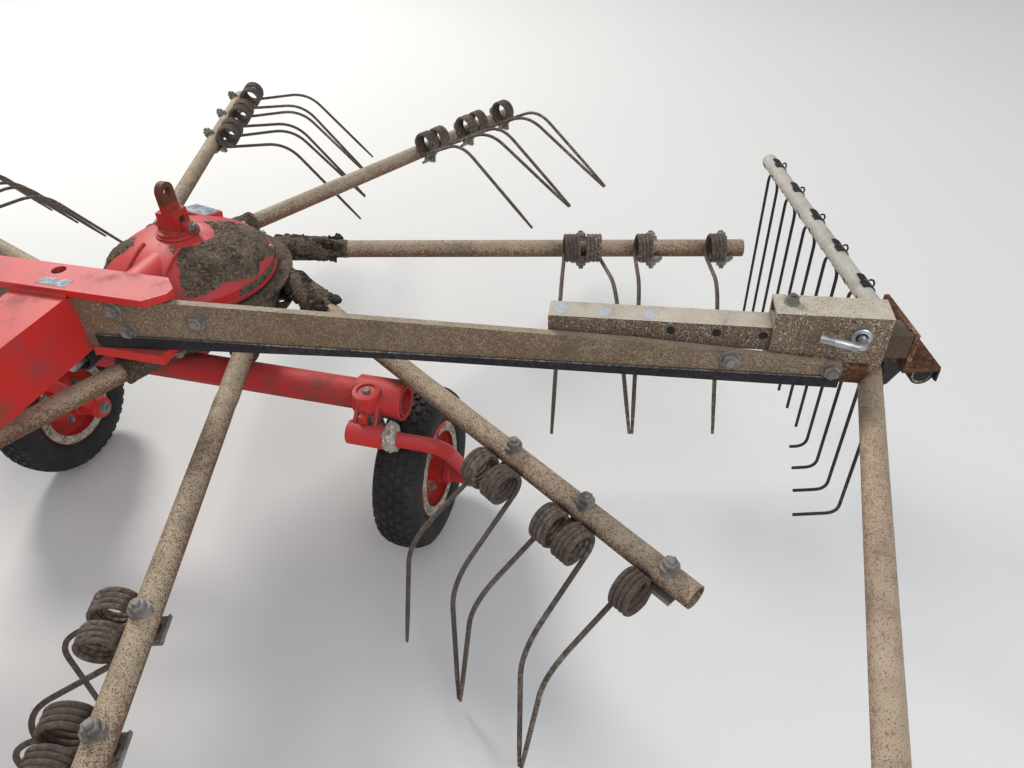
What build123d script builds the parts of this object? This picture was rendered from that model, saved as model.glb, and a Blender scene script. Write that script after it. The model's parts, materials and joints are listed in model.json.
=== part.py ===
from build123d import *
import os
from math import atan, cos, hypot, radians, sin, sqrt

# Single-rotor rotary rake with eight tine arms, a swath former on its left and a three-point headstock.
# Millimetres. +X is the machine's right, +Y its direction of travel, +Z up.
# The origin is on the ground, under the rotor's axis.

os.makedirs("parts", exist_ok=True)

# Gaps between pieces
SEAT_GAP = 0.3
RUN_GAP = 0.06
SLIDE_GAP = 0.5
CUT_PAST = 1.0

# Rotor
ARM_HEIGHT = 520.0
ARM_OFFSET = 173.0
ARM_ROOT = 20.0
ARM_REACH = 1320.0
ARM_RADIUS = 21.2
ARM_WALL = 3.6
SOCKET_RADIUS = 29.0
SOCKET_ROOT = 15.0
SOCKET_REACH = 275.0
CARRIER_RADIUS = 228.0
CARRIER_PLATE = 6.0
CARRIER_HUB_RADIUS = 64.0
CARRIER_HUB_DROP = 40.0
CARRIER_BOLT_CIRCLE = 205.0
CARRIER_BOLT_RADIUS = 8.0
CARRIER_BOLTS = 8
CARRIER_BOLT_TURN = 52.0

# Arms, anticlockwise from above: name, direction from +X, droop, roll at rest (0 is lowered), missing tines
ARMS = [
    ("a", -71.1, 0.0, 32.0, ()),
    ("b", -115.3, 1.0, 55.0, (5,)),
    ("c", -164.8, 1.5, 42.0, (3, 5)),
    ("d", 148.0, 2.0, 0.0, (5,)),
    ("e", 108.1, 0.0, 0.0, ()),
    ("f", 65.0, 0.0, 0.0, ()),
    ("g", 22.0, 0.0, 0.0, ()),
    ("h", -21.0, 0.0, 30.0, ()),
]

# Double spring tines, in the arm's own frame: along the arm, trailing side, up from the tube's axis
WIRE = 4.7
TINE_SPACING = 88.0
TINE_INNER = 449.0
TINE_PAIRS = 3
COIL_MEAN = 30.0
COIL_TURNS = 5
COIL_PITCH = 9.0
COIL_TRAIL = 57.0
COIL_DROP = 12.0
KNEE_TRAIL = 204.0
KNEE_DROP = 130.0
KNEE_LEAD = 16.0
KNEE_BEND = 75.0
TIP_TRAIL = 231.0
TIP_DROP = 462.0
TIP_LEAD = 40.0
CLAMP_BOLT = 6.0
CLAMP_PLATE = 5.0
CLAMP_LENGTH = 46.0
CLAMP_WIDTH = 44.0
CLAMP_NUT = 11.0
CLAMP_WASHER = 14.0
CLAMP_NUT_HEIGHT = 10.0
LOOP_SPREAD = 28.0
LOOP_BEND = 10.0

# Fixed gear housing over the rotor
DOME_RADIUS = 192.0
DOME_WALL = 9.0
DOME_RIM_HEIGHT = 27.0
DOME_GAP = 6.0
DOME_RISE = 105.0
DOME_TOP_RADIUS = 55.0
DOME_SHOULDER_RADIUS = 154.0
DOME_SHOULDER_DROP = 39.0
BOSS_RADIUS = 60.0
TUNNEL_RADIUS = 45.0
TUNNEL_DROP = 50.0
POST_RADIUS = 45.0
POST_BOTTOM = 396.0
NECK_REAR = 180.0
NECK_FRONT = 300.0
NECK_HALF_WIDTH = 60.0
NECK_TOP = 662.0
INPUT_HEIGHT = 586.0
INPUT_RADIUS = 17.45
INPUT_END = 396.0
INPUT_HOLE = 26.0
INPUT_GUARD_RADIUS = 31.0
INPUT_GUARD_WALL = 4.0
INPUT_GUARD_END = 372.0

# Lug on the housing
LUG_BASE_RADIUS = 42.0
LUG_BASE_HEIGHT = 12.0
LUG_BLOCK = 46.0
LUG_BLOCK_HEIGHT = 44.0
LUG_HOLE = 18.0
LUG_EYE_RADIUS = 22.0
LUG_EYE_HOLE = 11.0
LUG_TOP = 780.0
LUG_THICKNESS = 16.0

# Main beam and its plates
BEAM_HALF_WIDTH = 60.0
BEAM_BOTTOM = 622.0
BEAM_TOP = 741.0
BEAM_WALL = 6.0
BEAM_FRONT = 1460.0
END_PLATE = 12.0
TOP_PLATE = 14.0
TOP_PLATE_HALF = 250.0
TOP_PLATE_REAR = 305.0
TOP_PLATE_FRONT = 384.0
TOP_PLATE_CHAMFER = 30.0
TOP_PLATE_HOLE = 13.5
TOP_PLATE_HOLE_Y = 326.0
LOWER_PLATE = 20.0
LOWER_PLATE_HALF = 212.0
LOWER_PLATE_REAR = 290.0
LOWER_PLATE_FRONT = 380.0

# Cross beams: channels that open to the rear
CROSS_SWEEP = 7.0
CROSS_ROOT_Y = 380.0
CROSS_LENGTH = 1335.0
CROSS_KNEE = 1000.0
CROSS_KNEE_TOP = 717.0
CROSS_TIP_TOP = 696.0
CROSS_LOW_KNEE = 585.0
CROSS_ROOT_BOTTOM = 630.0
CROSS_KNEE_BOTTOM = 648.0
CROSS_TIP_BOTTOM = 650.0
CROSS_DEPTH = 13.5
CROSS_WALL = 6.0
CROSS_BOLTS = ((232.0, 701.0), (1160.0, 693.0), (1320.0, 684.0))
CROSS_BOLT_RADIUS = 7.0

# Sleeve, slide and swath former on the left
SLEEVE_START = 1220.0
SLEEVE_LENGTH = 177.0
SLEEVE_BOTTOM = 671.5
SLEEVE_TOP = 777.0
SLEEVE_WALL = 6.0
SLIDE_SIZE = 44.0
SLIDE_WALL = 4.0
SLIDE_BOTTOM = 701.0
SLIDE_START = 860.0
SLIDE_END = 1440.0
LOCK_ALONG = 1355.0
LOCK_RADIUS = 7.0
LOCK_HEIGHT = 741.0
LOCK_OUT = 18.0
LOCK_BEND = 14.0
LOCK_HANDLE = 68.0
LOCK_HANDLE_OUT = 8.0
LOCK_HANDLE_RISE = 10.0
SWATH_HEIGHT = 655.0
SWATH_RADIUS = 17.0
SWATH_WALL = 3.2
SWATH_FRONT = (-1520.0, 159.0)
SWATH_REAR = (-1262.0, -660.0)
SWATH_PLATE = 8.0
SWATH_PLATE_START = -15.0
SWATH_PLATE_REACH = 105.0
SWATH_PLATE_IN = 36.0
SWATH_PLATE_TOP = 746.0
SWATH_ROD = 3.5
SWATH_ROD_LENGTH = 450.0
SWATH_ROD_BEND = 25.0
SWATH_ROD_SPACING = 67.5
SWATH_CLIP_LENGTH = 40.0
SWATH_CLIP_WALL = 4.5
SWATH_TOE = 110.0
SWATH_STATIONS = (130.0, 265.0, 400.0, 535.0, 670.0, 805.0)
ROTOR_SWEEP = 1396.0

# Guard tubes
GUARD_RADIUS = 19.0
GUARD_WALL = 3.0
GUARD_REAR = (1440.0, 145.0)
GUARD_FRONT_X = 1395.0
GUARD_FRONT_Y = 1300.0
GUARD_BEND = 200.0
RIGHT_BRACKET = 10.0

# Axle and wheels
AXLE_Y = 180.0
AXLE_HEIGHT = 430.0
AXLE_RADIUS = 33.0
AXLE_WALL = 5.0
AXLE_LEFT = -590.0
AXLE_RIGHT = 560.0
YOKE_HALF_WIDTH = 55.0
YOKE_HEIGHT = 60.0
CASTING_X = -520.0
CASTING_HALF = 34.0
CASTING_WALL = 9.0
CASTING_BOSS_RADIUS = 24.0
CASTING_BOSS_TOP = 470.0
CRANK_Y = 250.0
CRANK_HEIGHT = 385.0
CRANK_RADIUS = 16.0
CRANK_SLEEVE_WALL = 9.0
CRANK_SLEEVE_END = -572.0
CRANK_OUT = -692.0
CRANK_BEND = 40.0
WHEEL_SHIFT = 1015.0
WHEEL_X = -580.0
WHEEL_Y = 130.0
TYRE_RADIUS = 190.0
TYRE_HALF_WIDTH = 54.0
TYRE_BEAD = 4.0
TYRE_SHOULDER_IN = 8.0
TYRE_CROWN = 12.0
RIM_SEAT = 101.0
RIM_FLANGE = 112.0
RIM_HALF_WIDTH = 38.0
RIM_WALL = 5.0
HUB_RADIUS = 30.0
HUB_HALF = 48.0
STUB_RADIUS = 12.5
WHEEL_BOSS_RADIUS = 25.0
WHEEL_BOSS_END = -716.0

# Headstock, which swivels on a vertical pin
SWIVEL_Y = 1520.0
SWIVEL_PIN = 20.0
SWIVEL_LUG = 12.0
SWIVEL_LUG_HALF = 50.0
SWIVEL_LUG_FRONT = 1562.0
SWIVEL_TUBE = 34.0
SWIVEL_CLEARANCE = 5.0
MAST_Y = 1640.0
MAST_DEPTH = 50.0
MAST_FOOT_HALF = 130.0
MAST_HEAD_HALF = 38.0
MAST_BAR = 50.0
LINK_HEIGHT = 430.0
LINK_SPREAD = 683.0
LINK_BEAM = 60.0
LINK_PIN = 11.0
LINK_PIN_LENGTH = 52.0
TOP_LINK_RISE = 460.0
TOP_LINK_HOLE = 9.75
TOP_LINK_BOSS = 22.0
TOP_LINK_GAP = 44.0
TOP_LINK_EAR = 12.0
TOP_LINK_HEAD = 30.0
TOP_LINK_SLOT = 60.0
TOP_LINK_STUB = 12.0

# Parking stand
STAND_Y = 1445.0
STAND_SIZE = 40.0
STAND_WALL = 4.0
STAND_TOP = 800.0
STAND_FOOT = 90.0
STAND_FOOT_PLATE = 8.0
STAND_GUIDE_WALL = 5.0


def rod(start, end, radius, bore=0.0, mode=Mode.ADD):
    """Round bar or tube between two points."""
    run = Vector(*end) - Vector(*start)
    with BuildSketch(Plane(start, z_dir=run)) as section:
        Circle(radius)
        if bore > 0:
            Circle(bore, mode=Mode.SUBTRACT)
    extrude(section.sketch, amount=run.length, mode=mode)


def bent_rod(points, bend, radius, bore=0.0):
    """Round bar or tube along straight runs joined by arcs."""
    with BuildLine() as path:
        FilletPolyline(*points, radius=bend)
    run = Vector(*points[1]) - Vector(*points[0])
    with BuildSketch(Plane(points[0], z_dir=run)) as section:
        Circle(radius)
        if bore > 0:
            Circle(bore, mode=Mode.SUBTRACT)
    sweep(section.sketch, path=path.line)


def block(low, high, mode=Mode.ADD):
    """Box between two opposite corners."""
    with BuildSketch(Plane.XY.offset(low[2])) as section:
        with Locations(((low[0] + high[0]) / 2, (low[1] + high[1]) / 2)):
            Rectangle(high[0] - low[0], high[1] - low[1])
    extrude(section.sketch, amount=high[2] - low[2], mode=mode)


def save(piece, name):
    """Label a finished piece and write it."""
    piece.part.label = name
    export_step(piece.part, f"parts/{name}.step")


def arm_plane(direction, droop):
    """Frame of an arm: X along its tube, Y to the leading side, Z up, origin at its foot."""
    a = radians(direction)
    d = radians(droop)
    foot = (-ARM_OFFSET * sin(a), ARM_OFFSET * cos(a), ARM_HEIGHT)
    along = (cos(a) * cos(d), sin(a) * cos(d), -sin(d))
    up = (cos(a) * sin(d), sin(a) * sin(d), cos(d))
    return Plane(origin=foot, x_dir=along, z_dir=up)


# Rotor carrier: hub on the fixed post, two plates and eight sockets
socket_top = ARM_HEIGHT + SOCKET_RADIUS
carrier_low = ARM_HEIGHT - CARRIER_HUB_DROP
bore_radius = ARM_RADIUS + RUN_GAP
lower_plate_low = ARM_HEIGHT - SOCKET_RADIUS - CARRIER_PLATE / 2
upper_plate_low = ARM_HEIGHT + SOCKET_RADIUS - CARRIER_PLATE

with BuildPart() as rotor_carrier:
    with BuildSketch(Plane.XY.offset(carrier_low)):
        Circle(CARRIER_HUB_RADIUS)
    extrude(amount=socket_top - carrier_low)
    for plate_low in (lower_plate_low, upper_plate_low):
        with BuildSketch(Plane.XY.offset(plate_low)):
            Circle(CARRIER_RADIUS)
            with PolarLocations(CARRIER_BOLT_CIRCLE, CARRIER_BOLTS, start_angle=CARRIER_BOLT_TURN):
                Circle(CARRIER_BOLT_RADIUS, mode=Mode.SUBTRACT)
        extrude(amount=CARRIER_PLATE)
    for name, direction, droop, roll, missing in ARMS:
        with BuildSketch(Plane(arm_plane(direction, droop).location * Location((SOCKET_ROOT, 0, 0), (0, 90, 0)))):
            Circle(SOCKET_RADIUS)
        extrude(amount=SOCKET_REACH - SOCKET_ROOT)
    for name, direction, droop, roll, missing in ARMS:
        with BuildSketch(Plane(arm_plane(direction, droop).location * Location((SOCKET_ROOT, 0, 0), (0, 90, 0)))):
            Circle(bore_radius)
        extrude(amount=SOCKET_REACH - SOCKET_ROOT, mode=Mode.SUBTRACT)
    with BuildSketch(Plane.XY.offset(carrier_low)):
        Circle(POST_RADIUS + RUN_GAP)
    extrude(amount=socket_top - carrier_low, mode=Mode.SUBTRACT)
save(rotor_carrier, "rotor_carrier")

# Arm tube, in its own frame, with a hole for each clamp bolt
tine_first = ARM_REACH - TINE_INNER
pair_middles = [tine_first + TINE_SPACING * (2 * i + 0.5) for i in range(TINE_PAIRS)]

with BuildPart() as arm_blank:
    with BuildSketch(Plane.YZ.offset(ARM_ROOT)):
        Circle(ARM_RADIUS)
        Circle(ARM_RADIUS - ARM_WALL, mode=Mode.SUBTRACT)
    extrude(amount=ARM_REACH - ARM_ROOT)
    with BuildSketch(Plane.XY):
        with Locations([(middle, 0) for middle in pair_middles]):
            Circle(CLAMP_BOLT + SEAT_GAP)
    extrude(amount=2 * ARM_RADIUS, both=True, mode=Mode.SUBTRACT)

# Double tine, in the arm's frame, centred on its clamp bolt
loop_drop = ARM_RADIUS + SEAT_GAP + WIRE
coil_length = COIL_PITCH * (COIL_TURNS - 1)
coil_inner_end = TINE_SPACING / 2 - coil_length
slope_run = KNEE_TRAIL - COIL_TRAIL
slope_drop = KNEE_DROP - COIL_DROP - COIL_MEAN
leg_angle = atan(slope_drop / slope_run)


def tine_half(side):
    """Coil and leg of one half of a double tine, side -1 nearer the rotor, 1 nearer the tip."""
    leg_at = side * TINE_SPACING / 2
    with BuildSketch(Plane.XZ.offset(COIL_TRAIL)) as coil:
        with Locations([(side * (coil_inner_end + COIL_PITCH * k), COIL_MEAN - COIL_DROP) for k in range(COIL_TURNS)]):
            RegularPolygon(WIRE, 6)
        with Locations((side * (coil_inner_end + coil_length / 2), COIL_MEAN - COIL_DROP)):
            Rectangle(coil_length, WIRE)
    coil_axis = Axis((0, -COIL_TRAIL, -COIL_DROP), (1, 0, 0))
    revolve(coil.sketch, axis=coil_axis)
    start = (leg_at, -COIL_TRAIL + COIL_MEAN * sin(leg_angle), -COIL_DROP - COIL_MEAN * cos(leg_angle))
    knee = (leg_at + KNEE_LEAD, -KNEE_TRAIL, -KNEE_DROP)
    tip = (leg_at + TIP_LEAD, -TIP_TRAIL, -TIP_DROP)
    bent_rod([start, knee, tip], KNEE_BEND, WIRE)


def clamp():
    """Saddle washer, bolt, nut, head and plate that hold a double tine."""
    nut_low = ARM_RADIUS + CLAMP_PLATE
    rod((0, 0, ARM_RADIUS / 2), (0, 0, nut_low), CLAMP_WASHER)
    rod((-CLAMP_LENGTH, 0, 0), (CLAMP_LENGTH, 0, 0), ARM_RADIUS + SEAT_GAP, mode=Mode.SUBTRACT)
    plate_top = -loop_drop - WIRE / 2
    plate_low = plate_top - CLAMP_PLATE
    block((-CLAMP_LENGTH / 2, -CLAMP_WIDTH / 2, plate_low), (CLAMP_LENGTH / 2, CLAMP_WIDTH / 2, plate_top))
    head_low = plate_low - CLAMP_NUT_HEIGHT
    rod((0, 0, head_low), (0, 0, nut_low + CLAMP_NUT_HEIGHT), CLAMP_BOLT)
    for low in (head_low, nut_low):
        with BuildSketch(Plane.XY.offset(low)) as nut:
            RegularPolygon(CLAMP_NUT, 6)
        extrude(nut.sketch, amount=CLAMP_NUT_HEIGHT)


def loop(sides):
    """Wire that joins the coils under the tube, or the half of it that is left."""
    coil_near = -COIL_TRAIL + sqrt(COIL_MEAN**2 - (loop_drop - COIL_DROP) ** 2)
    spread = LOOP_SPREAD / 2
    half = [
        (-coil_inner_end, coil_near, -loop_drop),
        (-spread, -spread, -loop_drop),
        (-spread, spread, -loop_drop),
    ]
    if len(sides) == 2:
        bent_rod(half + [(-p[0], p[1], p[2]) for p in reversed(half)], LOOP_BEND, WIRE)
    else:
        bent_rod([(p[0] * -sides[0], p[1], p[2]) for p in half] + [(0, spread, -loop_drop)], LOOP_BEND, WIRE)


with BuildPart() as tine_both:
    clamp()
    loop((-1, 1))
    tine_half(-1)
    tine_half(1)

with BuildPart() as tine_inner:
    clamp()
    loop((-1,))
    tine_half(-1)

# Each arm and its tines, turned to its roll at rest
for name, direction, droop, roll, missing in ARMS:
    frame = arm_plane(direction, droop).location * Location((0, 0, 0), (-roll, 0, 0))
    with BuildPart() as arm:
        with Locations(frame):
            add(arm_blank.part)
    save(arm, f"arm_{name}")
    with BuildPart() as tines:
        for pair, middle in enumerate(pair_middles):
            kind = tine_inner if 2 * pair + 1 in missing else tine_both
            with Locations(frame * Location((middle, 0, 0))):
                add(kind.part)
    save(tines, f"tines_{name}")

# Gear housing: dome, tunnel and neck
dome_low = socket_top + DOME_GAP
dome_top = dome_low + DOME_RISE
rim_top = dome_low + DOME_RIM_HEIGHT
tunnel_height = dome_top - TUNNEL_DROP

with BuildPart() as gear_housing:
    with BuildSketch(Plane.XZ):
        with BuildLine():
            Polyline(
                (0, dome_low),
                (BOSS_RADIUS, dome_low),
                (BOSS_RADIUS, dome_top - 2 * DOME_WALL),
                (DOME_RADIUS - 2 * DOME_WALL, rim_top),
                (DOME_RADIUS - DOME_WALL, rim_top - DOME_WALL),
                (DOME_RADIUS - DOME_WALL, dome_low),
                (DOME_RADIUS, dome_low),
                (DOME_RADIUS, rim_top),
            )
            ThreePointArc(
                (DOME_RADIUS, rim_top),
                (DOME_SHOULDER_RADIUS, dome_top - DOME_SHOULDER_DROP),
                (DOME_TOP_RADIUS, dome_top),
            )
            Polyline((DOME_TOP_RADIUS, dome_top), (0, dome_top), (0, dome_low))
        make_face()
    revolve(axis=Axis.Z)
    with BuildSketch(Plane.XZ.offset(-NECK_FRONT)):
        with Locations((0, tunnel_height)):
            Circle(TUNNEL_RADIUS)
    extrude(amount=NECK_FRONT)
    block((-NECK_HALF_WIDTH, NECK_REAR, dome_low), (NECK_HALF_WIDTH, NECK_FRONT, NECK_TOP))
    with BuildSketch(Plane.XY.offset(dome_low - POST_RADIUS)):
        Circle(CARRIER_HUB_RADIUS)
    extrude(amount=POST_RADIUS, mode=Mode.SUBTRACT)
save(gear_housing, "gear_housing")

# Fixed post through the rotor, with the yoke that holds the axle tube
with BuildPart() as centre_post:
    with BuildSketch(Plane.XY.offset(POST_BOTTOM)):
        Circle(POST_RADIUS)
    extrude(amount=dome_low - POST_BOTTOM)
    block(
        (-YOKE_HALF_WIDTH, 0, AXLE_HEIGHT - YOKE_HEIGHT / 2),
        (YOKE_HALF_WIDTH, AXLE_Y, AXLE_HEIGHT + YOKE_HEIGHT / 2),
    )
    rod(
        (-2 * YOKE_HALF_WIDTH, AXLE_Y, AXLE_HEIGHT),
        (2 * YOKE_HALF_WIDTH, AXLE_Y, AXLE_HEIGHT),
        AXLE_RADIUS + SEAT_GAP,
        mode=Mode.SUBTRACT,
    )
save(centre_post, "centre_post")

# Lug on the housing's top
with BuildPart() as lug:
    with BuildSketch(Plane.XY.offset(dome_top)):
        Circle(LUG_BASE_RADIUS)
    extrude(amount=LUG_BASE_HEIGHT)
    block_low = dome_top + LUG_BASE_HEIGHT
    block_top = block_low + LUG_BLOCK_HEIGHT
    block((-LUG_BLOCK / 2, -LUG_BLOCK / 2, block_low), (LUG_BLOCK / 2, LUG_BLOCK / 2, block_top))
    with BuildSketch(Plane.YZ):
        with Locations((0, block_low + LUG_BLOCK_HEIGHT / 2)):
            Rectangle(LUG_HOLE, LUG_HOLE)
    extrude(amount=LUG_BLOCK, both=True, mode=Mode.SUBTRACT)
    with BuildSketch(Plane.YZ):
        with Locations((0, LUG_TOP - LUG_EYE_RADIUS)):
            Circle(LUG_EYE_RADIUS)
        with Locations((0, (block_top + LUG_TOP - LUG_EYE_RADIUS) / 2)):
            Rectangle(2 * LUG_EYE_RADIUS, LUG_TOP - LUG_EYE_RADIUS - block_top)
        with Locations((0, LUG_TOP - LUG_EYE_RADIUS)):
            Circle(LUG_EYE_HOLE, mode=Mode.SUBTRACT)
    extrude(amount=LUG_THICKNESS / 2, both=True)
save(lug, "lug")

# Input stub and its guard cone
with BuildPart() as input_shaft:
    rod((0, NECK_FRONT, INPUT_HEIGHT), (0, INPUT_END, INPUT_HEIGHT), INPUT_RADIUS)
save(input_shaft, "input_shaft")

beam_rear = NECK_FRONT + END_PLATE
with BuildPart() as input_guard:
    rod(
        (0, beam_rear, INPUT_HEIGHT),
        (0, INPUT_GUARD_END, INPUT_HEIGHT),
        INPUT_GUARD_RADIUS,
        INPUT_GUARD_RADIUS - INPUT_GUARD_WALL,
    )
save(input_guard, "input_guard")

# Main beam: rear end plate, box and the two lugs of the swivel
with BuildPart() as main_beam:
    block((-BEAM_HALF_WIDTH, NECK_FRONT, dome_low), (BEAM_HALF_WIDTH, beam_rear, BEAM_TOP))
    rod((0, NECK_FRONT, INPUT_HEIGHT), (0, beam_rear, INPUT_HEIGHT), INPUT_HOLE, mode=Mode.SUBTRACT)
    block((-BEAM_HALF_WIDTH, beam_rear, BEAM_BOTTOM), (BEAM_HALF_WIDTH, BEAM_FRONT, BEAM_TOP))
    block(
        (-BEAM_HALF_WIDTH + BEAM_WALL, beam_rear, BEAM_BOTTOM + BEAM_WALL),
        (BEAM_HALF_WIDTH - BEAM_WALL, BEAM_FRONT, BEAM_TOP - BEAM_WALL),
        mode=Mode.SUBTRACT,
    )
    for low in (BEAM_BOTTOM, BEAM_TOP - SWIVEL_LUG):
        block((-SWIVEL_LUG_HALF, BEAM_FRONT - SWIVEL_LUG, low), (SWIVEL_LUG_HALF, SWIVEL_LUG_FRONT, low + SWIVEL_LUG))
    rod((0, SWIVEL_Y, BEAM_BOTTOM), (0, SWIVEL_Y, BEAM_TOP), SWIVEL_PIN + SEAT_GAP, mode=Mode.SUBTRACT)
save(main_beam, "main_beam")

# Top plate across the rear of the main beam
with BuildPart() as top_plate:
    with BuildSketch(Plane.XY.offset(BEAM_TOP)):
        with Locations((0, (TOP_PLATE_REAR + TOP_PLATE_FRONT) / 2)):
            plate = Rectangle(2 * TOP_PLATE_HALF, TOP_PLATE_FRONT - TOP_PLATE_REAR)
        chamfer(plate.vertices(), TOP_PLATE_CHAMFER)
        with Locations((0, TOP_PLATE_HOLE_Y)):
            Circle(TOP_PLATE_HOLE, mode=Mode.SUBTRACT)
    extrude(amount=TOP_PLATE)
save(top_plate, "top_plate")

# Lower plate: a wing on each side of the main beam, under the cross beams
with BuildPart() as lower_plate:
    for side in (-1, 1):
        inner = side * BEAM_HALF_WIDTH
        outer = side * LOWER_PLATE_HALF
        block(
            (min(inner, outer), LOWER_PLATE_REAR, CROSS_ROOT_BOTTOM - LOWER_PLATE),
            (max(inner, outer), LOWER_PLATE_FRONT, CROSS_ROOT_BOTTOM),
        )
save(lower_plate, "lower_plate")

# Left cross beam, in its own frame: X outwards along the beam, Y to the rear
sweep_angle = radians(CROSS_SWEEP)
cross_frame = Plane(
    origin=(-BEAM_HALF_WIDTH - SEAT_GAP, CROSS_ROOT_Y, 0),
    x_dir=(-cos(sweep_angle), -sin(sweep_angle), 0),
    z_dir=(0, 0, 1),
)
cross_side = Plane(
    origin=cross_frame.origin, x_dir=cross_frame.x_dir, z_dir=-cross_frame.y_dir
)


def cross_at(along, back, height):
    """Point of the left cross beam's frame in the machine's frame."""
    return cross_frame.from_local_coords((along, back, height))


def cross_outline(inset):
    """Side view of the cross beam, with its top and bottom edges moved in."""
    with BuildLine() as edge:
        Polyline(
            (0, CROSS_ROOT_BOTTOM + inset),
            (0, BEAM_TOP - inset),
            (CROSS_KNEE, CROSS_KNEE_TOP - inset),
            (CROSS_LENGTH, CROSS_TIP_TOP - inset),
            (CROSS_LENGTH, CROSS_TIP_BOTTOM + inset),
            (CROSS_LOW_KNEE, CROSS_KNEE_BOTTOM + inset),
            close=True,
        )
    return make_face(edge.line, mode=Mode.PRIVATE)


with BuildPart() as cross_left:
    with BuildSketch(cross_side):
        add(cross_outline(0))
    extrude(amount=-CROSS_DEPTH)
    with BuildSketch(cross_side.offset(-CROSS_WALL)):
        add(cross_outline(CROSS_WALL))
    extrude(amount=CROSS_WALL - CROSS_DEPTH, mode=Mode.SUBTRACT)
    for along, height in CROSS_BOLTS:
        rod(
            cross_at(along, -CUT_PAST, height),
            cross_at(along, CROSS_WALL + CUT_PAST, height),
            CROSS_BOLT_RADIUS,
            mode=Mode.SUBTRACT,
        )
    block(
        (-BEAM_HALF_WIDTH - SEAT_GAP, CROSS_ROOT_Y - 2 * CROSS_DEPTH, CROSS_ROOT_BOTTOM),
        (0, CROSS_ROOT_Y, BEAM_TOP),
        mode=Mode.SUBTRACT,
    )
save(cross_left, "cross_beam_left")

with BuildPart() as cross_right:
    mirror(cross_left.part, about=Plane.YZ)
save(cross_right, "cross_beam_right")

# Frame of the swath former: X rearwards along its tube, Y towards the rotor, origin at the tube's front end
swath_run = Vector(*SWATH_REAR, 0) - Vector(*SWATH_FRONT, 0)
swath_frame = Plane(origin=(*SWATH_FRONT, 0), x_dir=swath_run, z_dir=(0, 0, 1))


def swath_at(along, inward, height):
    """Point of the swath former's frame in the machine's frame."""
    return tuple(swath_frame.from_local_coords((along, inward, height)))


def swath_plate(along, inward, heights, mode=Mode.ADD):
    """Plate that lies square to the swath former's tube, from spans along it, across it and up."""
    with BuildSketch(swath_frame.offset(heights[0])) as outline:
        with Locations(((along[0] + along[1]) / 2, (inward[0] + inward[1]) / 2)):
            Rectangle(along[1] - along[0], inward[1] - inward[0])
    extrude(outline.sketch, amount=heights[1] - heights[0], mode=mode)


# Sleeve on the rear of the left cross beam: the slide's pocket between two closed ones
sleeve_back = CROSS_DEPTH + SEAT_GAP
slide_back = sleeve_back + SLEEVE_WALL + SLIDE_GAP
pocket = SLIDE_SIZE + 2 * SLIDE_GAP
sleeve_width = pocket + 2 * SLEEVE_WALL
slide_top = SLIDE_BOTTOM + SLIDE_SIZE
pockets = (
    (SLEEVE_BOTTOM + SLEEVE_WALL, SLIDE_BOTTOM - SLIDE_GAP - SLEEVE_WALL),
    (SLIDE_BOTTOM - SLIDE_GAP, slide_top + SLIDE_GAP),
    (slide_top + SLIDE_GAP + SLEEVE_WALL, SLEEVE_TOP - SLEEVE_WALL),
)

with BuildPart() as sleeve:
    with BuildSketch(Plane(cross_frame.location * Location((SLEEVE_START, 0, 0), (0, 90, 0)))):
        with Locations((-(SLEEVE_BOTTOM + SLEEVE_TOP) / 2, sleeve_back + sleeve_width / 2)):
            Rectangle(SLEEVE_TOP - SLEEVE_BOTTOM, sleeve_width)
        for low, high in pockets:
            with Locations((-(low + high) / 2, sleeve_back + sleeve_width / 2)):
                Rectangle(high - low, pocket, mode=Mode.SUBTRACT)
    extrude(amount=SLEEVE_LENGTH)
    rod(
        cross_at(LOCK_ALONG, 0, LOCK_HEIGHT),
        cross_at(LOCK_ALONG, sleeve_back + SLEEVE_WALL + SLIDE_GAP / 2, LOCK_HEIGHT),
        LOCK_RADIUS + SEAT_GAP,
        mode=Mode.SUBTRACT,
    )
save(sleeve, "sleeve")

# Slide: the square tube that carries the swath former, its outer end cut along the bracket
with BuildPart() as slide_tube:
    with BuildSketch(Plane(cross_frame.location * Location((SLIDE_START, 0, 0), (0, 90, 0)))):
        with Locations((-(SLIDE_BOTTOM + slide_top) / 2, slide_back + SLIDE_SIZE / 2)):
            Rectangle(SLIDE_SIZE, SLIDE_SIZE)
            Rectangle(SLIDE_SIZE - 2 * SLIDE_WALL, SLIDE_SIZE - 2 * SLIDE_WALL, mode=Mode.SUBTRACT)
    extrude(amount=SLIDE_END - SLIDE_START)
    swath_plate(
        (-SLIDE_SIZE, 2 * SLIDE_SIZE),
        (0, SWATH_PLATE_IN + SWATH_PLATE + SEAT_GAP),
        (SLIDE_BOTTOM - CUT_PAST, slide_top + CUT_PAST),
        mode=Mode.SUBTRACT,
    )
save(slide_tube, "slide_tube")

# Locking pin with its bent handle
with BuildPart() as lock_pin:
    bent_rod(
        [
            cross_at(LOCK_ALONG, sleeve_back + SLEEVE_WALL - SEAT_GAP, LOCK_HEIGHT),
            cross_at(LOCK_ALONG, -LOCK_OUT, LOCK_HEIGHT),
            cross_at(LOCK_ALONG - LOCK_HANDLE, -LOCK_HANDLE_OUT, LOCK_HEIGHT + LOCK_HANDLE_RISE),
        ],
        LOCK_BEND,
        LOCK_RADIUS,
    )
save(lock_pin, "lock_pin")

# Swath former: tube, bracket and hanging rods
with BuildPart() as swath_tube:
    rod(
        swath_at(0, 0, SWATH_HEIGHT),
        swath_at(swath_run.length, 0, SWATH_HEIGHT),
        SWATH_RADIUS,
        SWATH_RADIUS - SWATH_WALL,
    )
save(swath_tube, "swath_tube")

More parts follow.
